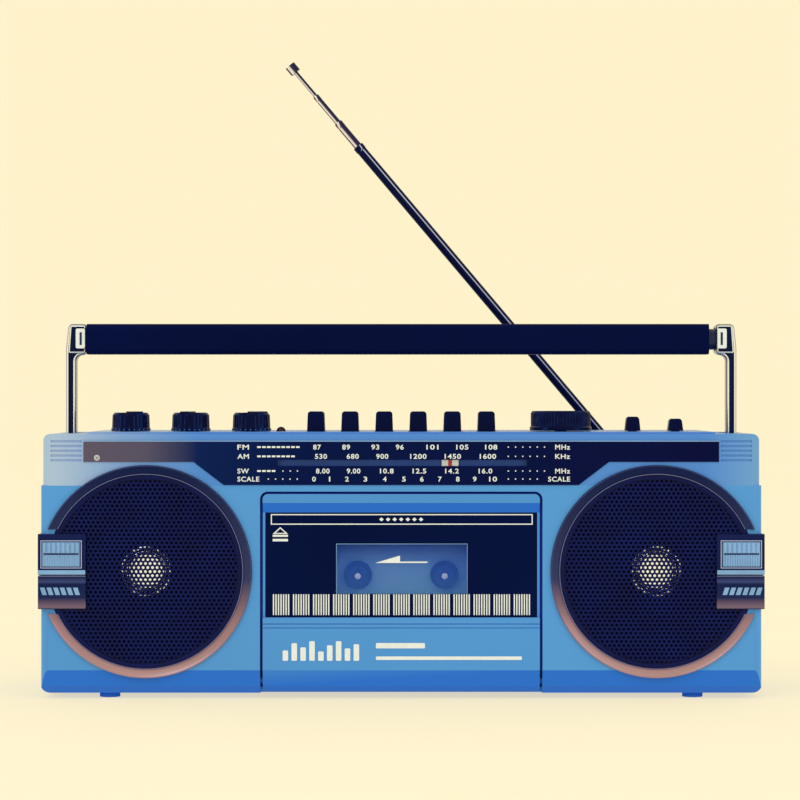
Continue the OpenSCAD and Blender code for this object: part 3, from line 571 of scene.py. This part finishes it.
def grille_mesh():
    """Perforated sheet: six-sided cells on a staggered grid, each with a round hole."""
    solid = Solid()
    sheet = 0.5 * MM
    row_pitch = HOLE_PITCH * math.sqrt(3) / 2
    cell_r = HOLE_PITCH / math.sqrt(3)
    reach = GRILLE_R - 1.3 * MM
    rows = int(reach / row_pitch)
    index = {}
    rims = {}

    def vertex(x, z, back):
        key = (round(x / (0.01 * MM)), round(z / (0.01 * MM)), back)
        if key not in index:
            bulge = 1.0 * MM * (1 - (x * x + z * z) / GRILLE_R ** 2)
            y = GRILLE_LOW.y - bulge + (sheet if back else 0)
            index[key] = len(solid.verts)
            solid.verts.append(Vector((SPEAKER.x + x, y, SPEAKER.z + z)))
        return index[key]

    for row in range(-rows, rows + 1):
        shift = HOLE_PITCH / 2 if row % 2 else 0
        for col in range(-rows, rows + 1):
            x, z = col * HOLE_PITCH + shift, row * row_pitch
            if math.hypot(x, z) > reach:
                continue
            turns = [math.radians(60 * i + 30) for i in range(6)]
            outer = [(x + cell_r * math.cos(t), z + cell_r * math.sin(t)) for t in turns]
            turns = [math.radians(30 * i + 30) for i in range(12)]
            inner = [(x + HOLE_R * math.cos(t), z + HOLE_R * math.sin(t)) for t in turns]
            front, back = [vertex(*p, False) for p in outer], [vertex(*p, True) for p in outer]
            near, far = [vertex(*p, False) for p in inner], [vertex(*p, True) for p in inner]
            for i in range(6):
                j, a, b, c = (i + 1) % 6, 2 * i, 2 * i + 1, (2 * i + 2) % 12
                solid.faces += [(front[i], front[j], near[c], near[b], near[a]),
                                (back[j], back[i], far[a], far[b], far[c]),
                                (near[a], near[b], far[b], far[a]), (near[b], near[c], far[c], far[b])]
                rims[front[i], front[j]] = (back[i], back[j])
    # the sheet's cut edge, where a cell has no neighbour
    solid.faces += [(b, a, a_back, b_back) for (a, b), (a_back, b_back) in rims.items()
                    if (b, a) not in rims]
    rim = [(GRILLE_R - 2.9 * MM, -0.75 * MM), (GRILLE_R - 2.9 * MM, 0.1 * MM), (GRILLE_R, 0.1 * MM),
           (GRILLE_R, -0.5 * MM), (GRILLE_R - 0.6 * MM, -0.9 * MM), (GRILLE_R - 2.4 * MM, -0.95 * MM)]
    solid.add(*turned(rim, 96))
    return solid


def turned(profile, steps, start=lambda r: 0.0):
    """A closed profile of (r, y from the grille's face) swept round the speaker's centre.
    start gives, for each radius, the angle left out on each side of the outer edge."""
    n = len(profile)
    whole = start(profile[0][0]) == 0
    count = steps if whole else steps + 1
    verts, faces = [], []
    for s in range(count):
        for r, y in profile:
            gap = start(r)
            a = gap + (2 * math.pi - 2 * gap) * s / steps
            verts.append((SPEAKER.x + r * math.cos(a), GRILLE_LOW.y + y, SPEAKER.z + r * math.sin(a)))
    for s in range(steps):
        here, there = s * n, (s + 1) % count * n
        faces += [(here + i, here + (i + 1) % n, there + (i + 1) % n, there + i) for i in range(n)]
    if not whole:
        faces += [tuple(range(n)), tuple(reversed(range((count - 1) * n, count * n)))]
    return verts, faces


def build_speakers():
    """Perforated sheets, trim rings with fine beads, and bright dust caps behind the sheets."""
    grille = grille_mesh()
    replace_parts(grille.piece("grille_sheet_right", "grille_navy", "cabinet"), "speaker_grille_right")
    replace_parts(grille.mirrored().piece("grille_sheet_left", "grille_navy", "cabinet"),
                "speaker_grille_left")

    # rings, with a level cut above and below the side trim
    cut_h = 20.5 * MM
    proud = RING_LOW.y - GRILLE_LOW.y
    face = FRONT_Y - GRILLE_LOW.y
    inner = GRILLE_R - 1.0 * MM
    profile = [(inner, 0), (inner, proud * 0.55), (inner + 0.35 * MM, proud * 0.9),
               (inner + 0.8 * MM, proud * 0.55), (RING_R - 1.3 * MM, proud * 0.80),
               (RING_R - 0.7 * MM, proud), (RING_R - 0.2 * MM, proud * 0.9), (RING_R, face),
               (RING_R - 2 * MM, face), (GRILLE_R, face), (GRILLE_R, 0)]
    ring = Solid()
    ring.add(*turned(profile, 160, lambda r: math.asin(cut_h / r)))
    right = ring.piece("ring_right", "ring_metal", "cabinet", smooth=True)
    left = ring.mirrored().piece("ring_left", "ring_metal", "cabinet", smooth=True)
    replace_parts(right, "speaker_rings")
    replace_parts(left, "speaker_rings")
    for name, r, thick in (("ring_bead", inner + 0.35 * MM, 0.16), ("ring_lip", RING_R - 0.55 * MM, 0.20)):
        t = thick * MM
        bead = Solid()
        bead.add(*turned([(r - t, proud * 0.9), (r, proud * 0.9 - t * 0.8), (r + t, proud * 0.9),
                          (r, proud * 0.9 + t)], 160, lambda r: math.asin(cut_h / r)))
        both_sides(bead, name, "bead_silver", "cabinet", slot="ring_metal", smooth=True)

    cap = Solid()
    cap_r, rise = 10.9 * MM, 2.4 * MM
    profile = [(0.3 * MM, 0)] + [(cap_r * math.sin(a), -rise * (1 - math.cos(a)))
                                 for a in (math.radians(15 * i) for i in range(1, 7))]
    profile += [(cap_r + 1.2 * MM, -rise - 0.4 * MM), (cap_r + 1.2 * MM, -rise - 1.0 * MM)]
    stand = Matrix.Translation((SPEAKER.x, GRILLE_LOW.y - 0.42 * MM, SPEAKER.z))
    cap.lathe(profile, stand @ Matrix.Rotation(math.pi / 2, 4, "X"), 48)
    both_sides(cap, "dust_cap", "cap_aluminium", "cabinet", slot="ring_metal", smooth=True)


# ---- side trims and badges ----

def build_trims():
    """Slatted inlays with a thin frame in the side trims, and bars on the badge plates."""
    front = TRIM_LOW.y
    x0, x1, z0, z1 = 155.6 * MM, 174 * MM, 64.2 * MM, 76.3 * MM
    floor = front + 0.8 * MM
    split = 70.4 * MM
    # broad upright slats over a row of fine ones
    inlay = Solid()
    inlay.box((x0, floor - 0.2 * MM, z0), (x1, floor, z1))
    for i in range(8):
        x = x0 + (0.5 + 2.3 * i) * MM
        inlay.box((x, floor - 0.7 * MM, split + 0.5 * MM), (x + 1.4 * MM, floor - 0.2 * MM, z1 - 0.4 * MM))
    for i in range(15):
        x = x0 + (0.35 + 1.2 * i) * MM
        inlay.box((x, floor - 0.45 * MM, z0 + 0.3 * MM),
                  (x + 0.75 * MM, floor - 0.2 * MM, split - 0.5 * MM))
    both_sides(inlay, "trim_inlay", "inlay_blue", "cabinet", slot="dial_navy")

    line = Solid()
    w = 0.35 * MM
    left, right, low, high = x0 - 0.9 * MM, x1 + 0.6 * MM, z0 - 0.7 * MM, z1 + 0.7 * MM
    y0, y1 = front - 0.05 * MM, front
    line.box((left, y0, low), (right, y1, low + w))
    line.box((left, y0, high - w), (right, y1, high))
    line.box((left, y0, low + w), (left + w, y1, high - w))
    line.box((right - w, y0, low + w), (right, y1, high - w))
    both_sides(line, "trim_line", "line_silver", "cabinet", slot="dial_navy")
    rule = Solid()
    rule.box((x0 + 0.8 * MM, floor - 0.5 * MM, split - 0.3 * MM),
             (x1 - 0.8 * MM, floor - 0.2 * MM, split + 0.3 * MM))
    both_sides(rule, "trim_rule", "trim_navy", "cabinet", slot="dial_navy")

    strip = Solid()
    strip.box((TRIM_HIGH.x - 23 * MM, front - 0.08 * MM, TRIM_LOW.z + 0.2 * MM),
              (TRIM_HIGH.x - 0.1 * MM, front, TRIM_LOW.z + 2.3 * MM))
    both_sides(strip, "trim_strip", "inlay_blue", "cabinet", slot="dial_navy")

    # six slanting bars, a plain ornament
    bars = Solid()
    base, top, lean = BADGE_LOW.z + 6.9 * MM, BADGE_LOW.z + 10.5 * MM, 1.2 * MM
    for i in range(6):
        x = BADGE_HIGH.x - 20.5 * MM + 3.2 * i * MM
        bars.plate([(x, base), (x + 2.2 * MM, base), (x + 2.2 * MM + lean, top), (x + lean, top)],
                   BADGE_LOW.y - 0.15 * MM, BADGE_LOW.y)
    both_sides(bars, "badge_bars", "inlay_blue", "cabinet", slot="bright_metal")


# ---- cassette door ----

# the clear pane's left, low, right and high edges, in mm
PANE = (-31.6, 50.8, 32.2, 75.3)


def build_window():
    """Smoked lens with a clear pane in it and white print on its face."""
    x0, z0, x1, z1 = [v * MM for v in PANE]
    front, back = LENS_LOW.y, LENS_HIGH.y
    lens = Solid()
    for low, high in (((LENS_LOW.x, LENS_LOW.z), (x0, LENS_HIGH.z)),
                      ((x1, LENS_LOW.z), (LENS_HIGH.x, LENS_HIGH.z)),
                      ((x0, LENS_LOW.z), (x1, z0)), ((x0, z1), (x1, LENS_HIGH.z))):
        lens.box((low[0], front, low[1]), (high[0], back, high[1]))
    smoke = lens.piece("window_lens", "window_smoke", "cassette_door")
    pane = Solid()
    pane.box((x0, front + 0.25 * MM, z0), (x1, back - 0.25 * MM, z1))
    clear = pane.piece("window_pane", "pane_blue", "cassette_door", "window_smoke")
    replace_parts(smoke, "door_window")
    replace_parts(clear, "door_window")

    art = Solid()
    y0, y1 = front - PRINT, front

    def bar(ax, az, bx, bz):
        art.box((ax * MM, y0, az * MM), (bx * MM, y1, bz * MM))

    line = 0.5
    left, low, right, high = -63.3, 84.5, 63.8, 89.6
    bar(left, low, right, low + line)
    bar(left, high - line, right, high)
    bar(left, low + line, left + line, high - line)
    bar(right - line, low + line, right, high - line)
    # row of lozenges in the middle of the outlined box
    for i in range(7):
        x, z = (-9.6 + 3.2 * i) * MM, (low + high) / 2 * MM
        art.plate([(x - 1.1 * MM, z), (x, z - 0.95 * MM), (x + 1.1 * MM, z), (x, z + 0.95 * MM)], y0, y1)
    # opening mark: an outlined triangle over two bars
    tri = [(-62.4, 80.0), (-58.7, 83.3), (-55.0, 80.0)]
    hole = [(-61.0, 80.5), (-58.7, 82.6), (-56.4, 80.5)]
    for i in range(3):
        j = (i + 1) % 3
        quad = [tri[i], hole[i], hole[j], tri[j]]
        art.plate([(x * MM, z * MM) for x, z in quad], y0, y1)
    bar(-62.4, 78.6, -55.0, 79.6)
    bar(-62.4, 76.4, -55.0, 77.6)
    # tape direction: half an arrow head and its shaft
    art.plate([(x * MM, z * MM) for x, z in
               [(-12.6, 65.9), (12.7, 65.9), (12.7, 66.6), (-0.6, 66.6), (-0.6, 69.5)]], y0, y1)
    # scale of 13 groups of 7 bars
    for group in range(13):
        for i in range(7):
            x = -62.3 + 9.74 * group + 1.22 * i
            bar(x, 40.6, x + 0.62, 50.7)
    art.piece("window_print", "print_white", "cassette_door", "window_smoke")

    rim = Solid()
    y = front + 0.2 * MM
    rim.box((x0, y, z1 - 0.35 * MM), (x1, y + 0.1 * MM, z1))
    rim.box((x0, y, z0), (x0 + 0.3 * MM, y + 0.1 * MM, z1 - 0.35 * MM))
    rim.box((x1 - 0.3 * MM, y, z0), (x1, y + 0.1 * MM, z1 - 0.35 * MM))
    rim.piece("pane_edge", "inlay_blue", "cassette_door", "window_smoke")


def build_door_gap_shade():
    """Painted shade in the gap round the door: a dark navy sheet set behind the gap."""
    y0, y1 = FRONT_Y + 2.0 * MM, FRONT_Y + 3.0 * MM
    clear = 0.1 * MM
    door_edge = LENS_HIGH.x + 1.2 * MM
    inner, outer = door_edge + clear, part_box("mech_chassis")[1].x - clear
    gap_shade = Solid()
    for x0, x1 in ((-outer, -inner), (inner, outer)):
        gap_shade.box((x0, y0, 14 * MM), (x1, y1, DOOR_HIGH.z + clear))
    gap_shade.box((-outer, y0, DOOR_HIGH.z + clear), (outer, y1, DOOR_HIGH.z + 1.1 * MM))
    gap_shade.piece("door_gap_shade", "gap_shade_navy", "cabinet", "cabinet_blue")


def build_door_panel():
    """Plain raised ornament on the lower panel: rising bars and two rules."""
    front = DOOR_LOW.y
    art = Solid()
    heights = (5.0, 8.5, 6.5, 9.5, 4.5, 7.5, 9.5, 6.0, 8.0)
    for i, h in enumerate(heights):
        x = (-57.5 + 4.3 * i) * MM
        art.plate(rounded(x, 18.6 * MM, x + 2.7 * MM, (18.6 + h) * MM, 0.5 * MM),
                  front - 0.25 * MM, front)
    for x0, x1, z0, h in ((-12.3, 11.5, 24.6, 2.6), (-12.3, 58.5, 19.0, 1.7)):
        art.plate(rounded(x0 * MM, z0 * MM, x1 * MM, (z0 + h) * MM, 0.5 * MM), front - 0.2 * MM, front)
    art.piece("door_ornament", "print_white", "cassette_door", "cabinet_blue")


def build_reels():
    """A bright pin and a collar on each reel spindle."""
    for name, body in (("take_up", "take_up_reel"), ("supply", "supply_reel")):
        low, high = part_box(name + "_spindle")
        middle = (low + high) / 2
        stand = Matrix.Translation((middle.x, low.y, middle.z)) @ Matrix.Rotation(math.pi / 2, 4, "X")
        pin = Solid()
        pin.lathe([(0.2 * MM, -0.2 * MM), (1.5 * MM, -0.2 * MM), (1.5 * MM, 0.2 * MM),
                   (1.0 * MM, 0.5 * MM), (0.2 * MM, 0.6 * MM)], stand, 24)
        pin.piece(name + "_pin", "print_white", body, "bright_metal", smooth=True)
        ring = Solid()
        disc = Matrix.Translation((0, 8.0 * MM, 0)) @ stand
        ring.lathe([(3.4 * MM, -0.2 * MM), (4.6 * MM, -0.2 * MM), (4.6 * MM, 0.3 * MM),
                    (3.4 * MM, 0.3 * MM)], disc, 36)
        ring.piece(name + "_collar", "holder_plastic", body, "spindle_navy", smooth=True)


# ---- knobs and keys ----

def build_small_knobs():
    """Three fluted knobs, each with a raised bar on top and small raised pale marks round its skirt that paint
    glints of light on it.
    """
    for name in ("volume", "tone", "balance"):
        low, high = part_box(name + "_knob")
        middle = (low + high) / 2
        stand = Matrix.Translation((middle.x, middle.y, 0))
        turn = math.radians({"volume": 35, "tone": -20, "balance": 60}[name])
        skirt_r = (high.x - low.x) / 2
        body_r = skirt_r - 0.4 * MM
        base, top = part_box("top_cover")[1].z + 0.2 * MM, high.z - 0.6 * MM

        def flute(r, z, a, base=base, top=top):
            if base + 2.0 * MM < z < top - 1.6 * MM:
                return r - 0.28 * MM * (0.5 + 0.5 * math.cos(20 * a)) ** 3
            return r

        profile = [(3 * MM, low.z), (3 * MM, base), (skirt_r - 0.3 * MM, base),
                   (skirt_r, base + 0.3 * MM), (skirt_r, base + 1.2 * MM),
                   (skirt_r - 0.3 * MM, base + 1.5 * MM), (body_r, base + 1.6 * MM),
                   (body_r, base + 2.1 * MM), (body_r - 0.1 * MM, base + 4.5 * MM),
                   (body_r - 0.2 * MM, top - 1.7 * MM), (body_r - 0.25 * MM, top - 1.2 * MM),
                   (body_r - 1.1 * MM, top - 0.2 * MM), (body_r - 1.5 * MM, top),
                   (0.4 * MM, top - 0.15 * MM)]
        knob = Solid()
        knob.lathe(profile, stand, 160, flute)
        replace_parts(knob.piece(name + "_cap", "knob_black", name + "_control", smooth=True), name + "_knob")
        pointer = Solid()
        at = stand @ Matrix.Rotation(turn, 4, "Z")
        pointer.box((-2.3 * MM, -body_r + 1.2 * MM, top - 0.9 * MM), (2.3 * MM, 1 * MM, high.z))
        pointer.verts = [at @ v for v in pointer.verts]
        raised = pointer.piece(name + "_pointer", "knob_black", name + "_control")
        bevel = raised.modifiers.new("bevel", "BEVEL")
        bevel.width, bevel.segments = 0.25 * MM, 2
        # painted highlights: pale marks round the skirt stand in for glints of light on it
        glint = Solid()
        glint.box((-0.3 * MM, -skirt_r - 0.06 * MM, base + 0.35 * MM),
                 (0.3 * MM, -skirt_r + 0.3 * MM, base + 1.1 * MM))
        glints = Solid()
        for i in range(24):
            spin = stand @ Matrix.Rotation(math.pi * i / 12, 4, "Z")
            glints.add([spin @ v for v in glint.verts], glint.faces)
        glints.piece(name + "_glints", "knob_glints", name + "_control", "knob_black")


def build_tuning_knob():
    """Wide knurled knob with a finger dimple."""
    low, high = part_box("tuning_knob")
    middle = (low + high) / 2
    stand = Matrix.Translation((middle.x, middle.y, 0))
    skirt_r = (high.x - low.x) / 2
    body_r = skirt_r - 0.55 * MM
    base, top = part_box("top_cover")[1].z + 0.4 * MM, high.z

    def knurl(r, z, a):
        if base + 2.5 * MM < z < top - 1.3 * MM:
            return r - 0.32 * MM * (0.5 + 0.5 * math.cos(54 * a)) ** 2
        return r

    profile = [(3 * MM, low.z), (3 * MM, base), (skirt_r - 0.3 * MM, base), (skirt_r, base + 0.3 * MM),
               (skirt_r, base + 1.6 * MM), (skirt_r - 0.4 * MM, base + 2.0 * MM), (body_r, base + 2.1 * MM),
               (body_r, base + 2.6 * MM), (body_r, base + 5 * MM), (body_r, top - 1.4 * MM),
               (body_r - 0.1 * MM, top - 0.8 * MM), (body_r - 0.8 * MM, top), (body_r - 2.4 * MM, top),
               (body_r - 2.9 * MM, top - 0.5 * MM), (body_r - 6.5 * MM, top - 0.7 * MM),
               (0.5 * MM, top - 0.6 * MM)]
    knob = Solid()
    knob.lathe(profile, stand, 324, knurl)
    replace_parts(knob.piece("tuning_cap", "knob_black", "tuning", smooth=True), "tuning_knob")
    dimple = Solid()
    at = stand @ Matrix.Translation((0, -body_r + 5.0 * MM, top - 0.72 * MM))
    dimple.lathe([(2.0 * MM, 0), (2.0 * MM, 0.25 * MM), (1.5 * MM, 0.3 * MM), (0.2 * MM, 0.12 * MM)],
                 at, 32)
    dimple.piece("tuning_dimple", "line_silver", "tuning", "knob_black", smooth=True)


def tapered_cap(solid, x, foot_half, top_half, low_y, high_y, foot_z, top_z):
    """A key's cap: narrower at the top, with rounded corners and an eased top edge."""
    levels = []
    for z, half, back in ((foot_z, foot_half, 0), (top_z - 1.1 * MM, top_half + 0.05 * MM, 0.3 * MM),
                          (top_z - 0.4 * MM, top_half - 0.35 * MM, 0.6 * MM),
                          (top_z, top_half - 1.0 * MM, 1.2 * MM)):
        levels.append((rounded(x - half, low_y + back, x + half, high_y - back, 0.8 * MM), z))
    solid.loft(levels)


KEY_DEEP = 14 * MM
KEY_FOOT_HALF, KEY_TOP_HALF = 4.65 * MM, 4.0 * MM
SWITCH_FOOT_HALF, SWITCH_TOP_HALF = 3.8 * MM, 3.1 * MM
LEVER_HALF = 3 * MM
BARREL_R, BARREL_BORE = 3.3 * MM, 1.6 * MM


def build_keys():
    """Six piano keys, each a cap on a lever that turns on the shaft, and two slide switches."""
    for name in ("record", "play", "rewind", "fast_forward", "stop", "pause"):
        low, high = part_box("key_" + name)
        x = (low.x + high.x) / 2
        shaft_y, shaft_z = high.y - BARREL_R, low.z + 3.5 * MM
        key = Solid()
        tapered_cap(key, x, KEY_FOOT_HALF, KEY_TOP_HALF, low.y, low.y + KEY_DEEP,
                    low.z + 5.5 * MM, high.z)
        key.box((x - LEVER_HALF, low.y + 2 * MM, low.z),
                (x + LEVER_HALF, shaft_y - 1.7 * MM, low.z + 6.5 * MM))
        lie = Matrix.Translation((x, shaft_y, shaft_z)) @ Matrix.Rotation(math.pi / 2, 4, "Y")
        key.lathe([(BARREL_BORE, -LEVER_HALF), (BARREL_R, -LEVER_HALF), (BARREL_R, LEVER_HALF),
                   (BARREL_BORE, LEVER_HALF)], lie, 36, hollow=True)
        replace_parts(key.piece("key_cap_" + name, "key_black", name + "_key"), "key_" + name)
    deck_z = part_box("top_cover")[1].z
    for name in ("function", "band"):
        low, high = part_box(name + "_switch")
        middle = (low + high) / 2
        key = Solid()
        tapered_cap(key, middle.x, SWITCH_FOOT_HALF, SWITCH_TOP_HALF, low.y, high.y,
                    deck_z + 0.3 * MM, high.z)
        key.box((middle.x - 2 * MM, middle.y - 1.9 * MM, low.z),
                (middle.x + 2 * MM, middle.y + 1.9 * MM, deck_z + 1 * MM))
        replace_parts(key.piece(name + "_cap", "key_black", name + "_slide"), name + "_switch")


# ---- handle arms ----

def build_arms():
    """Flat bar with a leaning bracket, all its edges rounded, and by the grip a bright patch with a dark band down
    it, a painted reflection on the bracket.
    """
    low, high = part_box("handle_arm_right")
    grip_z = (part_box("handle_grip")[0].z + high.z) / 2
    base_z = grip_z - (high.z - grip_z)
    middle_y = (low.y + high.y) / 2
    arm_in, arm_out = high.x - 5.5 * MM, high.x - 0.5 * MM
    arm = Solid()
    outline = ([(arm_in, low.z), (arm_out, low.z), (arm_out, base_z + 3 * MM)]
               + arc(high.x - 3.7 * MM, high.z - 2.2 * MM, 2.2 * MM, 8, 90, 5)
               + [(low.x, high.z), (low.x, base_z)]
               + arc(arm_in - 3.2 * MM, base_z - 3.5 * MM, 3.2 * MM, 90, 0, 5))
    arm.plate(outline, middle_y - 5 * MM, middle_y + 5 * MM)
    block = Solid()
    block.plate([(low.x, base_z + 0.4 * MM), (arm_out - 1.4 * MM, base_z + 0.4 * MM),
                 (arm_out - 2.4 * MM, high.z - 0.5 * MM), (low.x, high.z - 0.5 * MM)], low.y, high.y)
    for name, solid, width in (("handle_arm", arm, 1.8), ("handle_socket", block, 1.2)):
        for side, shape in (("right", solid), ("left", solid.mirrored())):
            made = shape.piece(name + "_" + side, "arm_chrome", "handle", "bright_metal")
            rim = made.modifiers.new("rim", "BEVEL")
            rim.width, rim.segments = width * MM, 5
            rim.limit_method = "ANGLE"
            rim.angle_limit = math.radians(50)
            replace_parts(made, "handle_arm_" + side)
    # painted reflection: a bright patch by the grip with a dark band down it, standing for the chrome bracket's
    # reflection
    plate = Solid()
    plate.plate(rounded(low.x + 0.5 * MM, grip_z - 4.6 * MM, arm_in - 0.3 * MM, grip_z + 5.2 * MM,
                        0.8 * MM), low.y - 0.12 * MM, low.y + 0.5 * MM)
    both_sides(plate, "end_reflection", "print_white", "handle", slot="bright_metal")
    dark_band = Solid()
    dark_band.plate(rounded(low.x + 2.0 * MM, grip_z - 3.0 * MM, low.x + 3.1 * MM, grip_z + 3.4 * MM, 0.4 * MM),
               low.y - 0.22 * MM, low.y)
    both_sides(dark_band, "end_reflection_band", "core_steel", "handle", slot="bright_metal")


# ---- aerial ferrules ----

# each section's body, then in mm its end along the aerial, its bore, its outer radius and how
# far the ring at its end stands proud; the inner ones must slide into the bore outside them
AERIAL_SECTIONS = (("aerial_base", 200, 2.2, 2.6, 0.22),
                   ("aerial_middle", 216, 1.65, 2.1, 0.06),
                   ("aerial_upper", 234, 1.15, 1.55, 0.06))


def build_ferrules():
    """A ring round the open end of each tube of the aerial."""
    joint = JOINTS["aerial_tilt"]
    pivot = Vector(joint["pos_m"])
    along = Vector(JOINTS["aerial_slide_middle"]["axis"]).normalized()
    stand = Matrix.Translation(pivot) @ along.to_track_quat("Z", "Y").to_matrix().to_4x4()
    for body, end, bore, r, proud in AERIAL_SECTIONS:
        ring = Solid()
        profile = [(bore + 0.03, end + 0.12), (r - 0.05, end + 0.12), (r + proud, end - 0.05),
                   (r + proud, end - 2.5), (r + proud / 2, end - 3.0), (r - 0.1, end - 3.2),
                   (bore + 0.03, end - 3.2)]
        ring.lathe([(a * MM, b * MM) for a, b in profile], stand, 32, hollow=True)
        ring.piece(body + "_ferrule", "tube_black" if body == "aerial_base" else "aerial_chrome",
                   body, "bright_metal", smooth=True)


# ---- studio ----

def build_studio():
    world = bpy.data.worlds.new("studio")
    bpy.context.scene.world = world
    world.use_nodes = True
    sky = world.node_tree.nodes["Background"]
    sky.inputs["Color"].default_value = (*SKY, 1)
    sky.inputs["Strength"].default_value = 1.0
    mesh = bpy.data.meshes.new("floor")
    half = 9.0  # metres
    mesh.from_pydata([(-half, -half, 0), (half, -half, 0), (half, half, 0), (-half, half, 0)], [],
                     [(0, 1, 2, 3)])
    floor = bpy.data.objects.new("floor", mesh)
    bpy.context.scene.collection.objects.link(floor)
    # the floor gives back what it takes from the sky, so it meets the sky without a line
    albedo = (0.34, 0.32, 0.27)
    paper = surface("floor_cream", albedo, 0.9, vary=0.01, specular=0.0)
    glow = [sky_part * (1 - kept) for sky_part, kept in zip(SKY, albedo)]
    paper.shader.inputs["Emission Color"].default_value = (*glow, 1)
    paper.shader.inputs["Emission Strength"].default_value = 1.0
    mesh.materials.append(paper.material)

    def softbox(name, place, aim, size, power, colour):
        light = bpy.data.lights.new(name, "AREA")
        light.shape = "RECTANGLE"
        light.size, light.size_y = size
        light.energy = power
        light.color = colour
        lamp = bpy.data.objects.new(name, light)
        lamp.location = place
        lamp.rotation_euler = (Vector(aim) - Vector(place)).to_track_quat("-Z", "Y").to_euler()
        bpy.context.scene.collection.objects.link(lamp)

    cool = (0.80, 0.90, 1.0)
    softbox("key", (-0.9, -1.3, 1.5), (0, 0, 0.1), (1.2, 0.9), 5.5, cool)
    softbox("fill", (1.2, -1.2, 0.9), (0, 0, 0.1), (0.9, 0.9), 2.5, cool)


def build_camera():
    """Level and square to the front, at the photograph's height and distance."""
    distance, eye_z, seen_width = 1.400, 0.145, 0.3878
    camera = bpy.data.cameras.new("camera")
    camera.sensor_width = 36
    camera.lens = camera.sensor_width * distance / seen_width
    holder = bpy.data.objects.new("camera", camera)
    holder.location = (-0.0006, FRONT_Y - distance, eye_z)
    holder.rotation_euler = (math.pi / 2, 0, 0)
    bpy.context.scene.collection.objects.link(holder)
    bpy.context.scene.camera = holder
    bpy.context.scene.view_settings.view_transform = "Standard"


build_camera()
build_studio()
dress_nodes()
soften(0.5 * MM, "feet", "badge_plates")
soften(0.35 * MM, "door_frame", "side_trims", "battery_cover", "power_inlet")
build_dial()
build_speakers()
build_trims()
build_window()
build_door_gap_shade()
build_door_panel()
build_reels()
build_small_knobs()
build_tuning_knob()
build_keys()
build_arms()
build_ferrules()
